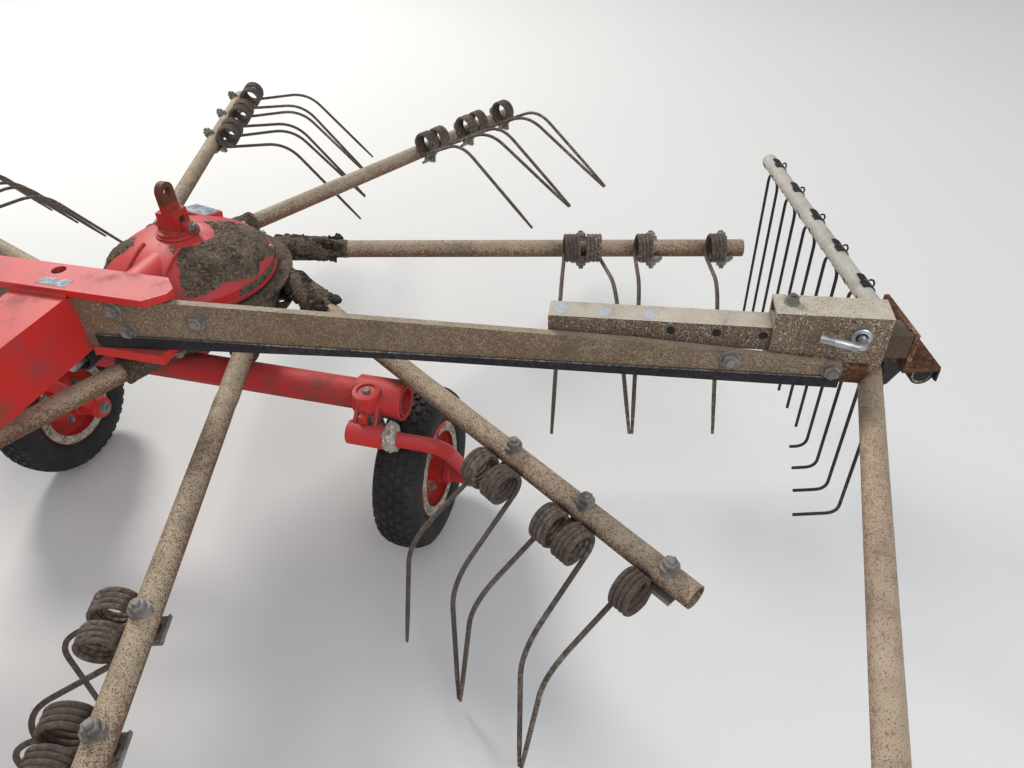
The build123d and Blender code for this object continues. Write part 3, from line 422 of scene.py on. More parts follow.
def plated(name, metal, dull, gloss=0.24, metallic=0.9):
    """Zinc plating with dull patches and a painted shade in its corners."""
    finish = Finish(name)
    cloud = finish.noise(40.0, 5.0, 0.65)
    scratch = finish.noise(120.0, 3.0, 0.6, (1.0, 1.0, 9.0))
    colour = finish.mix(finish.step(cloud, 0.4, 0.7), metal, dull)
    # Painted shade: corners and close gaps, found by ambient occlusion, darken towards the dull tone
    colour = finish.mix(finish.corners(0.006, 0.4, 0.95), colour, tone(dull, 0.4))
    rough = finish.plus(gloss, finish.times(cloud, 0.3))
    finish.relief(scratch, 0.15, 0.0004)
    return finish.close(colour, rough, metallic)


def rubbery(name, rubber, dust):
    """Tyre rubber, with dust in its grooves."""
    finish = Finish(name)
    cloud = finish.noise(16.0, 5.0, 0.65)
    grain = finish.noise(500.0, 3.0, 0.6)
    colour = finish.mix(finish.step(cloud, 0.35, 0.75), rubber, tone(rubber, 1.9))
    dust_and_corner_shade = finish.most(finish.corners(0.012, 0.3, 0.9), finish.step(cloud, 0.6, 0.8))
    dust_and_corner_shade = finish.times(dust_and_corner_shade, 0.5)
    colour = finish.mix(dust_and_corner_shade, colour, dust)
    finish.relief(grain, 0.3, 0.0006)
    return finish.close(colour, finish.plus(0.62, finish.times(cloud, 0.25)))


def labelled(name, ground, ink):
    """Blank weathered label: faint bands and no lettering."""
    finish = Finish(name)
    cloud = finish.noise(70.0, 6.0, 0.75)
    scuff = finish.noise(240.0, 4.0, 0.7, (1.0, 3.0, 1.0))
    colour = finish.mix(finish.step(cloud, 0.42, 0.6), ground, ink)
    colour = finish.mix(finish.step(scuff, 0.6, 0.7), colour, tone(ground, 1.5))
    return finish.close(colour, finish.plus(0.35, finish.times(cloud, 0.4)))


def make_finishes(colours):
    """All the finishes of the rake."""
    keys = ("red", "faded", "beige", "white", "rust", "mud", "rubber", "zinc")
    red, faded, beige, white, rust, mud, rubber, zinc = (tuple(getattr(colours, key)) for key in keys)
    brown = (0.155, 0.088, 0.048)
    painted("faded_red_paint", red, faded, rust, mud)
    painted("wheel_red", red, tone(red, 0.9), rust, tone(mud, 1.6), chips=0.58, grime=0.7)
    painted("dirty_red", tone(red, 0.8), faded, rust, mud, 0.56, 0.6, 0.95, 0.6)
    greasy = ("Z", 0.722, 0.742, tone(rust, 0.5))
    painted("lug_red", tone(red, 0.75), faded, rust, mud, 0.52, 0.58, 0.9, 0.6, greasy)
    speckled("worn_beige_paint", beige, tone(beige, 1.25), tone(rust, 0.75), mud, 1.1)
    speckled("cross_beam_paint", tone(beige, 0.75), tone(beige, 1.05), brown, mud, 0.95, 1.7)
    speckled("sleeve_paint", (0.44, 0.39, 0.31), (0.55, 0.50, 0.42), brown, mud, 0.8, 1.4, 0.19)
    # Painted shadow of the sleeve and the cross beam, with some dark rust: the slide's outer end, past about
    # X -1.41, goes dark brown
    end_shade_and_rust = ("X", -1.40, -1.43, (0.085, 0.055, 0.038))
    slide_rust = (0.12, 0.07, 0.04)
    # Painted shade: the high side weight, 0.24, darkens the slide's front with dark rust specks
    speckled("slide_paint", (0.42, 0.37, 0.29), (0.52, 0.47, 0.39), slide_rust, mud, 0.6, 1.4, 0.24, end_shade_and_rust)
    speckled("guard_paint", (0.37, 0.285, 0.20), (0.46, 0.365, 0.27), (0.19, 0.10, 0.06), mud, 1.0)
    speckled("white_paint", white, tone(white, 1.25), tone(rust, 0.7), mud, 0.35, 1.2, 0.13)
    rusted("rusty_tube", rust, tone(rust, 0.5), beige, 0.45)
    rusted("dark_steel", (0.085, 0.062, 0.052), (0.03, 0.026, 0.026), rust, 0.3, 0.5, metallic=0.35)
    rusted("spring_steel", (0.185, 0.145, 0.118), (0.108, 0.083, 0.067), (0.25, 0.205, 0.17), 0.4, 0.72)
    rusted("tine_steel", (0.05, 0.036, 0.032), (0.018, 0.015, 0.015), (0.11, 0.08, 0.07), 0.3, 0.4)
    caked("dirty_iron", tone(mud, 0.85))
    caked("black_dirt", (0.034, 0.027, 0.021))
    caked("dried_dirt", mud)
    caked("pale_dirt", (0.33, 0.31, 0.26))
    plated("zinc_steel", zinc, (0.25, 0.24, 0.23))
    plated("old_bolt", (0.27, 0.25, 0.225), (0.13, 0.112, 0.095), 0.46, 0.35)
    rubbery("tyre_rubber", rubber, tone(mud, 1.2))
    rubbery("black_plastic", (0.02, 0.02, 0.021), mud)
    rusted("dark_edge", (0.050, 0.046, 0.048), (0.016, 0.016, 0.020), rust, 0.22, 0.55)
    rusted("bare_edge", (0.26, 0.25, 0.24), (0.10, 0.09, 0.085), beige, 0.5, 0.4)
    speckled("bare_patch", (0.37, 0.41, 0.45), (0.46, 0.50, 0.54), beige, beige, 0.8)
    rubbery("black_clip", (0.012, 0.012, 0.013), tone(mud, 0.8))
    labelled("label", (0.30, 0.34, 0.37), (0.10, 0.13, 0.17))


# Mesh building

# Thickness of a bolt's washer and length of a weld bead's ripple
WASHER = 0.0022
RIPPLE = 0.006


def new_piece(name, mesh, finish, body=ROOT, replaces=(), sharp=32.0):
    """Turns a bmesh into a piece that rides on a body. Edges bent by more than sharp stay hard."""
    bmesh.ops.recalc_face_normals(mesh, faces=mesh.faces)
    limit = radians(sharp)
    for face in mesh.faces:
        face.smooth = True
    for edge in mesh.edges:
        if len(edge.link_faces) == 2 and edge.calc_face_angle(0.0) > limit:
            edge.smooth = False
    data = bpy.data.meshes.new(name)
    mesh.to_mesh(data)
    mesh.free()
    piece = bpy.data.objects.new(name, data)
    bpy.context.scene.collection.objects.link(piece)
    data.materials.append(bpy.data.materials[LOOK + finish])
    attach(piece, body)
    if replaces:
        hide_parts(*replaces)


def polar(radius, turn, height=0.0):
    """Point at a radius, at a turn about Z in radians."""
    return Vector((radius * cos(turn), radius * sin(turn), height))


def turns(count):
    """Even turns of a full circle, in radians."""
    return [2 * pi * k / count for k in range(count)]


def moved(x, y, z):
    """Matrix that moves and doesn't turn."""
    return Matrix.Translation((x, y, z))


def rotated(turn, axis):
    """Matrix that turns by degrees about an axis."""
    return Matrix.Rotation(radians(turn), 4, axis)


def bridge(mesh, rings, closed=False, ends=True):
    """Skins a row of rings of vertices."""
    pairs = list(zip(rings, rings[1:]))
    if closed:
        pairs.append((rings[-1], rings[0]))
    for first, second in pairs:
        count = max(len(first), len(second))
        for k in range(count):
            spots = ((first, k), (first, k + 1), (second, k + 1), (second, k))
            unique = list(dict.fromkeys(ring[place % len(ring)] for ring, place in spots))
            if len(unique) > 2:
                mesh.faces.new(unique)
    if ends and not closed:
        for ring in (rings[0], rings[-1]):
            if len(ring) > 2:
                mesh.faces.new(ring)


def wire(mesh, points, radius, sides=8):
    """Round bar along points. radius is one value or one for each point."""
    radii = radius if isinstance(radius, list) else [radius] * len(points)
    rings = []
    across = None
    for i, point in enumerate(points):
        along = (points[min(i + 1, len(points) - 1)] - points[max(i - 1, 0)]).normalized()
        across = along.orthogonal() if across is None else across - along * across.dot(along)
        across.normalize()
        side = along.cross(across)
        spots = [point + (across * cos(t) + side * sin(t)) * radii[i] for t in turns(sides)]
        rings.append([mesh.verts.new(spot) for spot in spots])
    bridge(mesh, rings)


def turned(mesh, profile, place, segments=32, closed=False):
    """Turned form about the local Z of place, from (radius, height) points."""
    rings = []
    for radius, height in profile:
        spots = [polar(radius, t, height) for t in turns(segments)] if radius else [Vector((0, 0, height))]
        rings.append([mesh.verts.new(place @ spot) for spot in spots])
    bridge(mesh, rings, closed=closed)


def slab(mesh, outline, low, high, place=None, bevel=0.0):
    """Plate with a flat outline between two heights of place, its edges bevelled."""
    place = place or Matrix.Identity(4)
    rings = [[mesh.verts.new(place @ Vector((x, y, z))) for x, y in outline] for z in (low, high)]
    before = set(mesh.edges)
    bridge(mesh, rings)
    if bevel > 0:
        edges = [edge for edge in mesh.edges if edge not in before]
        bmesh.ops.bevel(
            mesh, geom=edges, offset=bevel, segments=2, profile=0.5, affect="EDGES", clamp_overlap=True
        )


def brick(mesh, low, high, place, bevel):
    """Bevelled block between two opposite corners."""
    outline = [(low[0], low[1]), (high[0], low[1]), (high[0], high[1]), (low[0], high[1])]
    slab(mesh, outline, low[2], high[2], place, bevel)


def facing(spot, way):
    """Matrix at spot with its Z along way."""
    rotation = Vector(way).normalized().to_track_quat("Z", "Y").to_matrix().to_4x4()
    return Matrix.Translation(spot) @ rotation


def bolt_head(mesh, place, across, height, shank, turn=0.0, washer=True):
    """Hexagon head or nut on a washer, with the end of its thread."""
    base = 0.0
    if washer:
        rim = across * 0.72
        base = WASHER
        turned(mesh, [(0, 0), (rim, 0), (rim, 0.0016), (rim * 0.9, base), (0, base)], place, 24)
    hexagon = place @ rotated(turn, "Z")
    corner = across / 2 / cos(pi / 6)
    tip = base + height
    turned(mesh, [(corner, base), (corner, base + height * 0.8), (corner * 0.82, tip), (0, tip)], hexagon, 6)
    if shank > 0:
        core = across * 0.3
        ridges = [(core, tip)]
        for k in range(3):
            ridges.append((core, tip + shank * (k + 0.35) / 3))
            ridges.append((core * 0.88, tip + shank * (k + 0.7) / 3))
        turned(mesh, [*ridges, (core * 0.8, tip + shank), (0, tip + shank)], place, 14)


def bolt_piece(name, heads, body=ROOT):
    """Piece of bolt heads, each given by its place, width, height, thread, turn and washer."""
    bolts = bmesh.new()
    for head in heads:
        bolt_head(bolts, *head)
    new_piece(name, bolts, "old_bolt", body)


def strap(mesh, place, along, angles, radii, steps=10):
    """Curved strap about the local X of place, its angles from local Z towards -Y."""
    rings = []
    for k in range(steps + 1):
        t = radians(angles[0] + (angles[1] - angles[0]) * k / steps)
        way = Vector((0, -sin(t), cos(t)))
        corners = ((along[0], radii[0]), (along[1], radii[0]), (along[1], radii[1]), (along[0], radii[1]))
        rings.append([mesh.verts.new(place @ (Vector((s, 0, 0)) + way * r)) for s, r in corners])
    bridge(mesh, rings)


def bend(first, corner, last, steps):
    """Points of a bend from first to last at a corner."""
    run = []
    for k in range(steps + 1):
        t = k / steps
        run.append(first.lerp(corner, t).lerp(corner.lerp(last, t), t))
    return run


def rounded(points, radius, steps=6):
    """Points of a line whose corners are rounded off."""
    run = [points[0]]
    for before, corner, after in zip(points, points[1:], points[2:]):
        first, last = (corner + (end - corner).normalized() * radius for end in (before, after))
        run += bend(first, corner, last, steps)
    return [*run, points[-1]]


def weld(mesh, points, radius):
    """Ripply bead along points."""
    spots = []
    radii = []
    for first, second in zip(points, points[1:]):
        run = Vector(second) - Vector(first)
        count = max(2, int(run.length / (RIPPLE / 3)))
        for k in range(count):
            spot = Vector(first) + run * (k / count)
            spots.append(spot)
            swell = 0.82 + 0.22 * abs(sin(len(spots) * pi / 3)) + 0.12 * noise.noise(spot * 90)
            radii.append(radius * swell)
    wire(mesh, [*spots, Vector(points[-1])], [*radii, radius * 0.5], 7)


def weld_piece(name, sides, middle=(), finish="faded_red_paint", body=ROOT):
    """Piece of beads, each a radius and its points. Those of sides are the right one's and are mirrored."""
    seams = bmesh.new()
    for side in (-1, 1):
        for radius, *points in sides:
            weld(seams, [(side * x, y, z) for x, y, z in points], radius)
    for radius, *points in middle:
        weld(seams, points, radius)
    new_piece(name, seams, finish, body)


def circle_points(place, radius, count=48, start=0.0, end=360.0):
    """Points of an arc in the local XY of place."""
    return [place @ polar(radius, radians(start + (end - start) * k / count)) for k in range(count + 1)]


def lump(mesh, middle, radii, seed, rough=0.35, detail=3):
    """Irregular clod."""
    made = bmesh.ops.create_icosphere(mesh, subdivisions=detail, radius=1.0)
    shift = Vector((seed * 3.1, seed * 1.7, seed * 5.3))
    for vert in made["verts"]:
        way = vert.co.copy()
        rise = 1 + rough * noise.fractal(way * 1.6 + shift, 0.8, 2.1, 4)
        vert.co = Vector(middle) + Vector([way[k] * radii[k] * rise for k in range(3)])


def crust(mesh, surface, rows, columns, thickness, seed, cover, scale):
    """Dirt on a surface, thin at its border. surface(u, v) gives a point and its normal."""
    shift = Vector((seed * 2.7, seed * 4.1, seed * 1.3))
    grid = []
    for i in range(rows + 1):
        line = []
        for j in range(columns + 1):
            u = i / rows
            v = j / columns
            spot, up = surface(u, v)
            border = min(u, 1 - u, v, 1 - v) * 4
            level = noise.fractal(spot * scale + shift, 0.9, 2.2, 5) * 0.6
            grain = noise.fractal(spot * scale * 6 + shift, 1.0, 2.0, 3) * 0.18
            rise = min(1.0, border) - 0.55 + level + cover
            height = max(-0.25, rise) * thickness + (grain * thickness if rise > 0 else 0)
            line.append((mesh.verts.new(spot + up * height), rise))
        grid.append(line)
    for i in range(rows):
        for j in range(columns):
            corners = (grid[i][j], grid[i + 1][j], grid[i + 1][j + 1], grid[i][j + 1])
            if max(corner[1] for corner in corners) > -0.1:
                mesh.faces.new([corner[0] for corner in corners])
    loose = [vert for vert in mesh.verts if not vert.link_faces]
    bmesh.ops.delete(mesh, geom=loose, context="VERTS")


def arm_frame(direction, droop, roll=0.0):
    """Matrix of an arm: X along its tube, Y to the leading side, Z up, turned to its roll."""
    a = radians(direction)
    d = radians(droop)
    along = Vector((cos(a) * cos(d), sin(a) * cos(d), -sin(d)))
    up = Vector((cos(a) * sin(d), sin(a) * sin(d), cos(d)))
    lead = up.cross(along)
    place = Matrix((along, lead, up)).transposed().to_4x4()
    place.translation = Vector((-ARM_OFFSET * sin(a), ARM_OFFSET * cos(a), ARM_HEIGHT))
    return place @ rotated(-roll, "X")


def cross_spot(along, back, height, side=-1):
    """Point in a cross beam's frame, side -1 for the left one."""
    x = -CROSS_ROOT.x + along * cos(CROSS_SWEEP) - back * sin(CROSS_SWEEP)
    y = CROSS_ROOT.y - along * sin(CROSS_SWEEP) - back * cos(CROSS_SWEEP)
    return Vector((side * x, y, height))


def cross_frame(side):
    """Matrix of a cross beam's frame: X outwards along it, Y to the rear, Z up or down to suit the side."""
    out = Vector((side * cos(CROSS_SWEEP), -sin(CROSS_SWEEP), 0))
    rear = Vector((-side * sin(CROSS_SWEEP), -cos(CROSS_SWEEP), 0))
    place = Matrix((out, rear, out.cross(rear))).transposed().to_4x4()
    place.translation = cross_spot(0, 0, 0, side)
    return place


def cross_face(along, back, height, side=-1):
    """Matrix on a cross beam with its Z to the front."""
    front = cross_spot(0, -1, 0, side) - cross_spot(0, 0, 0, side)
    return facing(cross_spot(along, back, height, side), front)


def dome_height(radius):
    """Height of the dome's outside at a radius."""
    points = ((DOME_RADIUS, DOME_RIM), DOME_SHOULDER, (DOME_TOP_RADIUS, DOME_TOP))
    if radius <= DOME_TOP_RADIUS:
        return DOME_TOP
    (ax, ay), (bx, by), (cx, cy) = points
    d = 2 * (ax * (by - cy) + bx * (cy - ay) + cx * (ay - by))
    a2, b2, c2 = (x * x + y * y for x, y in points)
    mx = (a2 * (by - cy) + b2 * (cy - ay) + c2 * (ay - by)) / d
    my = (a2 * (cx - bx) + b2 * (ax - cx) + c2 * (bx - ax)) / d
    reach = hypot(ax - mx, ay - my)
    return my + max(0.0, reach * reach - (radius - mx) ** 2) ** 0.5


# Pieces


def tine_wire(mesh, side, place, sizes):
    """Leg and coil of one half of a double tine, and its share of the loop under the tube."""
    mean = sizes.coil
    start = TINE_SPACING / 2 + 0.001
    angle = atan2(-KNEE.z - COIL_DROP - mean, -KNEE.y - COIL_TRAIL)
    leave = Vector((start, -COIL_TRAIL + mean * sin(angle), -COIL_DROP - mean * cos(angle)))
    knee = KNEE + Vector((start, 0, 0))
    tip = TIP + Vector((start, 0, 0))
    before = knee + (leave - knee).normalized() * KNEE_BEND
    after = knee + (tip - knee).normalized() * KNEE_BEND
    points = [tip.lerp(after, k / 4) for k in range(4)]
    points += bend(after, knee, before, 8)
    points += [before.lerp(leave, k / 4) for k in range(1, 4)]
    steps = COIL_TURNS * 24
    coil_length = COIL_PITCH * COIL_TURNS
    for k in range(steps + 1):
        t = angle - pi / 2 + 2 * pi * k / 24
        across = start - coil_length * k / steps
        points.append(Vector((across, -COIL_TRAIL + mean * cos(t), -COIL_DROP + mean * sin(t))))
    spread = 0.014
    inner = start - coil_length
    points += [Vector(spot) for spot in (
        (inner + 0.001, -0.0355, -0.0337), (inner + 0.002, -0.0290, -0.0286),
        (spread - 0.001, -0.022, -LOOP_DROP), (spread, -0.010, -LOOP_DROP), (spread, 0.008, -LOOP_DROP),
        (spread * 0.7, 0.016, -LOOP_DROP), (0, 0.019, -LOOP_DROP),
    )]
    turn = Matrix.Diagonal((side, 1, 1, 1))
    radii = [sizes.wire * 0.72] + [sizes.wire] * (len(points) - 1)
    wire(mesh, [place @ turn @ point for point in points], radii, 9)


def make_tines(name, place, missing, sizes):
    """Spring wires of one arm, and the hardware that clamps them."""
    wires = bmesh.new()
    clamps = bmesh.new()
    crown = ARM_RADIUS + 0.005
    saddle = [(0.0165, ARM_RADIUS - 0.009), (0.0150, crown - 0.002), (0.0130, crown), (0, crown)]
    low = -LOOP_DROP - 0.002
    for pair, middle in enumerate(PAIR_MIDDLES):
        spot = place @ moved(middle, 0, 0)
        tine_wire(wires, -1, spot, sizes)
        if 2 * pair + 1 not in missing:
            tine_wire(wires, 1, spot, sizes)
        turned(clamps, saddle, spot, 28)
        bolt_head(clamps, spot @ moved(0, 0, crown), 0.022, 0.0105, 0.005, 17 * pair)
        brick(clamps, (-0.024, -0.022, low - 0.005), (0.024, 0.022, low), spot, 0.0015)
        for lip in (-0.0215, 0.0215):
            brick(clamps, (-0.024, lip - 0.002, low - 0.004), (0.024, lip + 0.002, low + 0.004), spot, 0.001)
        under = spot @ rotated(180, "X") @ moved(0, 0, -low + 0.005)
        bolt_head(clamps, under, 0.021, 0.009, 0.007, 11 * pair)
    arm = f"arm_{name}"
    new_piece(f"tine_wires_{name}", wires, "spring_steel", arm, (f"tines_{name}",), 40)
    new_piece(f"tine_clamps_{name}", clamps, "old_bolt", arm)


def make_arm_collar(name, place):
    """Lip of the socket that an arm leaves."""
    mesh = bmesh.new()
    lip = place @ moved(SOCKET_REACH, 0, 0) @ rotated(90, "Y")
    outer = SOCKET_RADIUS + 0.0012
    section = [
        (ARM_RADIUS + 0.0006, 0.0005), (outer, 0.0005), (outer, -0.010), (SOCKET_RADIUS - 0.001, -0.011),
    ]
    turned(mesh, section, lip, 28)
    new_piece(f"socket_lip_{name}", mesh, "dirty_iron", "rotor")


def dent_arm(place):
    """Tube of arm e with the kink and flattened dent beyond its socket."""
    mesh = bmesh.new()
    stations = [ARM_ROOT + (ARM_REACH - ARM_ROOT) * k / 130 for k in range(131)]
    walls = []
    for radius in (ARM_RADIUS, ARM_RADIUS - ARM_WALL):
        rings = []
        for s in stations:
            near = max(0.0, 1 - abs(s - DENT_MIDDLE) / DENT_REACH)
            ring = []
            for t in turns(28):
                push = near * near * DENT_DEPTH * max(0.0, cos(t - 1.1)) ** 1.5
                buckle = near * 0.0015 * sin(3 * t + 40 * s)
                r = radius - push + buckle
                ring.append(mesh.verts.new(place @ Vector((s, r * cos(t), r * sin(t)))))
            rings.append(ring)
        bridge(mesh, rings, ends=False)
        walls.append(rings)
    for end in (0, -1):
        bridge(mesh, [walls[0][end], walls[1][end]], ends=False)
    new_piece("arm_e_tube", mesh, "worn_beige_paint", "arm_e", ("arm_e",))


def make_tyre(name, middle, sizes):
    """Tyre with five rows of tread blocks and a rounded wall."""
    mesh = bmesh.new()
    place = moved(middle, WHEEL_Y, TYRE_RADIUS) @ rotated(90, "Y")
    depth = sizes.tread
    base = TYRE_RADIUS - depth
    profile = [
        (RIM_SEAT + 0.0004, 0.030), (RIM_SEAT + 0.001, 0.0377), (0.113, 0.0378), (0.117, 0.041),
        (0.122, 0.0445), (0.124, 0.0475), (0.127, 0.047), (0.134, 0.0505), (0.146, 0.0528), (0.158, 0.0522),
        (0.167, 0.0500), (0.173, 0.0462), (base - 0.006, 0.0415), (base - 0.002, 0.030), (base, 0.015),
        (base, 0),
    ]
    mirrored = profile + [(r, -x) for r, x in reversed(profile[:-1])]
    turned(mesh, mirrored, place, 96, closed=True)
    rows = ((-0.0455, -0.0285), (-0.0235, -0.0095), (-0.0055, 0.0055), (0.0095, 0.0235), (0.0285, 0.0455))
    half = pi / sizes.blocks * 0.62
    for row, (inner, outer) in enumerate(rows):
        mid = (inner + outer) / 2
        skew = (row - 2) * 0.004
        for k in range(sizes.blocks):
            turn = (k + (row % 2) / 2) / sizes.blocks * 2 * pi
            rings = []
            for lift, shrink in ((-0.006, 1.0), (depth * 0.8, 0.97), (depth, 0.86)):
                ring = []
                for u, v in ((-1, inner), (1, inner), (1, outer), (-1, outer)):
                    drop = 0.011 * (abs(v) / 0.0455) ** 2.6
                    a = turn + (u * half + skew * (1 if v > 0 else -1)) * shrink
                    r = min(base + lift - drop, TYRE_RADIUS)
                    ring.append(mesh.verts.new(place @ polar(r, a, mid + (v - mid) * shrink)))
                rings.append(ring)
            bridge(mesh, rings)
    new_piece(f"treaded_tyre_{name}", mesh, "tyre_rubber", f"wheel_{name}", (f"tyre_{name}",), 38)


def make_wheel_fittings(name, middle):
    """Dished disc, rolled flanges, dirt ring, hub cap and nuts of one wheel."""
    body = f"wheel_{name}"
    place = moved(middle, WHEEL_Y, TYRE_RADIUS) @ rotated(-90, "Y")
    disc = bmesh.new()
    profile = [
        (0.031, 0.020), (0.046, 0.022), (0.058, 0.018), (0.070, 0.009), (0.084, 0.006), (0.0925, 0.014),
        (0.0945, 0.030), (0.0945, -0.030), (0.091, -0.008), (0.083, 0.002), (0.070, 0.005), (0.058, 0.014),
        (0.046, 0.018), (0.031, 0.016),
    ]
    turned(disc, profile, place, 64, closed=True)
    for edge in (-1, 1):
        lip = [(0.0965 + 0.0155 * k / 6, edge * (0.0394 + 0.0056 * sin(pi * k / 6))) for k in range(7)]
        back = [(r, x - edge * 0.0026) for r, x in reversed(lip)]
        turned(disc, lip + back, place, 64, closed=True)
    new_piece(f"wheel_disc_{name}", disc, "wheel_red", body, sharp=30)
    nuts = bmesh.new()
    for k, t in enumerate(turns(5)):
        spot = place @ Matrix.Translation(polar(0.052, t + 0.3, 0.0205))
        bolt_head(nuts, spot, 0.015, 0.008, 0.004, 23 * k)
    valve = place @ moved(0.078, 0.0, 0.006)
    stem = [(0.0042, 0), (0.0042, 0.012), (0.0034, 0.013), (0.0034, 0.022), (0.0024, 0.024), (0, 0.024)]
    turned(nuts, stem, valve, 12)
    new_piece(f"wheel_nuts_{name}", nuts, "old_bolt", body)
    cap = bmesh.new()
    outer = place @ rotated(180, "X")
    crown = [(0.0285, 0.0475), (0.0285, 0.052), (0.026, 0.0565), (0.018, 0.0585), (0.017, 0.0615), (0, 0.062)]
    turned(cap, crown, outer)
    new_piece(f"hub_cap_{name}", cap, "wheel_red", body)
    mud = bmesh.new()
    for edge in (-1, 1):
        def ring(u, v, edge=edge):
            spot = place @ polar(0.089 + 0.022 * u, 2 * pi * v, edge * 0.0445)
            return spot, place.to_3x3() @ Vector((0, 0, edge))
        crust(mud, ring, 7, 110, 0.0032, 3 + edge + middle, 0.25, 40.0)
    new_piece(f"rim_dirt_{name}", mud, "pale_dirt", body)


def make_castings(name, shift):
    """Cap, bell mouth, ribs, bolts and dirt of one wheel's casting, and the nut and bosses of its crank."""
    x = CASTING_X + shift
    mesh = bmesh.new()
    boss = moved(x, 0.213, 0.470)
    cap = [
        (0.0245, -0.012), (0.029, -0.010), (0.030, -0.004), (0.0285, 0.0015), (0.020, 0.004),
        (0.0195, 0.0005), (0, 0.0005),
    ]
    turned(mesh, cap, boss, 36)
    mouth = moved(x - 0.034, 0.180, 0.430) @ rotated(-90, "Y")
    bell = [
        (0.0335, 0.0), (0.0335, 0.030), (0.0385, 0.036), (0.0425, 0.033), (0.043, 0.022), (0.0424, -0.004),
    ]
    turned(mesh, bell, mouth, 40)
    upright = Matrix(((0, 0, 1, 0), (1, 0, 0, 0), (0, 1, 0, 0), (0, 0, 0, 1)))
    ribs = ((x - 0.028, x - 0.018, 0.405, 0.448), (x + 0.016, x + 0.026, 0.409, 0.442))
    for low, high, corner, top in ribs:
        slab(mesh, [(0.205, 0.372), (0.250, 0.372), (0.250, corner), (0.219, top)], low, high, upright, 0.003)
    brick(mesh, (x - 0.020, 0.142, 0.374), (x + 0.020, 0.178, 0.396), None, 0.005)
    new_piece(f"casting_forms_{name}", mesh, "faded_red_paint")
    bolt_piece(f"casting_bolts_{name}", (
        (boss @ moved(0, 0, 0.0006), 0.016, 0.006, 0.0, 12, False),
        (facing((x, 0.142, 0.385), (0, -1, 0)), 0.017, 0.008, 0.005, 8),
    ))
    crank_end = (CRANK_END + shift, WHEEL_Y, TYRE_RADIUS)
    bolt_piece(f"crank_nut_{name}", [(facing(crank_end, (-1, 0, 0)), 0.024, 0.010, 0.004, 10)])
    bosses = bmesh.new()
    for start, end, radius in ((0.002, 0.024, 0.0285), (0.060, 0.080, 0.030)):
        section = [(0.0262, start), (radius, start + 0.004), (radius, end - 0.004), (0.0262, end)]
        turned(bosses, section, facing(crank_end, (1, 0, 0)))
    new_piece(f"crank_boss_{name}", bosses, "faded_red_paint")
    mud = bmesh.new()
    lump(mud, (x - 0.058, 0.250, 0.388), (0.017, 0.031, 0.033), 5 + shift, 0.30)
    new_piece(f"crank_dirt_{name}", mud, "pale_dirt")
    inside = bmesh.new()
    lump(inside, (x - 0.004, 0.234, 0.398), (0.030, 0.022, 0.026), 9 + shift, 0.5)
    new_piece(f"casting_dirt_{name}", inside, "dried_dirt")


def make_housing_fittings():
    """Raised pad with its blank plate, rim flange, lug's bosses, seams and bolts."""
    mesh = bmesh.new()
    middle = Vector((0.033, -0.134, dome_height(0.138) + 0.014))
    tilt = Matrix.Translation(middle) @ rotated(-14, "Z") @ rotated(9, "X")
    half_x, half_y = 0.045, 0.026
    brick(mesh, (-half_x, -half_y, -0.040), (half_x, half_y, 0.0), tilt, 0.003)
    out = DOME_RADIUS + 0.004
    flange = [(DOME_RADIUS, 0.0), (out, 0.0), (out, 0.008), (DOME_RADIUS, 0.010)]
    turned(mesh, flange, moved(0, 0, DOME_LOW), 96)
    for x in (-0.031, 0.031):
        brick(mesh, (x - 0.011, -0.011, 0.664), (x + 0.011, 0.011, 0.690), None, 0.003)
    new_piece("housing_forms", mesh, "faded_red_paint")
    plate = bmesh.new()
    x, y = half_x * 0.90, half_y * 0.86
    brick(plate, (-x, -y, -0.0005), (x, y, 0.0012), tilt, 0.0004)
    new_piece("housing_plate", plate, "label")
    tunnel = []
    for k in range(9):
        y = 0.060 + 0.235 * k / 8
        r = hypot(0.0445, y)
        tunnel.append((0.0465, y, (dome_height(r) if r < DOME_RADIUS else 0.600) + 0.002))
    weld_piece("housing_welds", ((0.004, *tunnel),), (
        (0.004, *circle_points(moved(0, 0, 0.662), 0.043)),
        (0.003, (-0.023, -0.024, 0.673), (0.023, -0.024, 0.673)),
        (0.003, (-0.023, 0.024, 0.673), (0.023, 0.024, 0.673)),
        (0.0045, (-0.060, 0.299, 0.663), (0.060, 0.299, 0.663)),
    ))
    cover = 0.184
    spots = [polar(cover, radians(-150 + 24 * k), dome_height(cover) - 0.003) for k in range(6)]
    bolt_piece("housing_bolts", (
        (facing((0.042, 0.0, 0.677), (1, 0, 0)), 0.013, 0.006, 0.008, 0.0, False),
        (facing((-0.042, 0.0, 0.677), (-1, 0, 0)), 0.019, 0.008, 0.004),
        *((Matrix.Translation(spot), 0.014, 0.006, 0.0, 9 * k) for k, spot in enumerate(spots)),
    ))


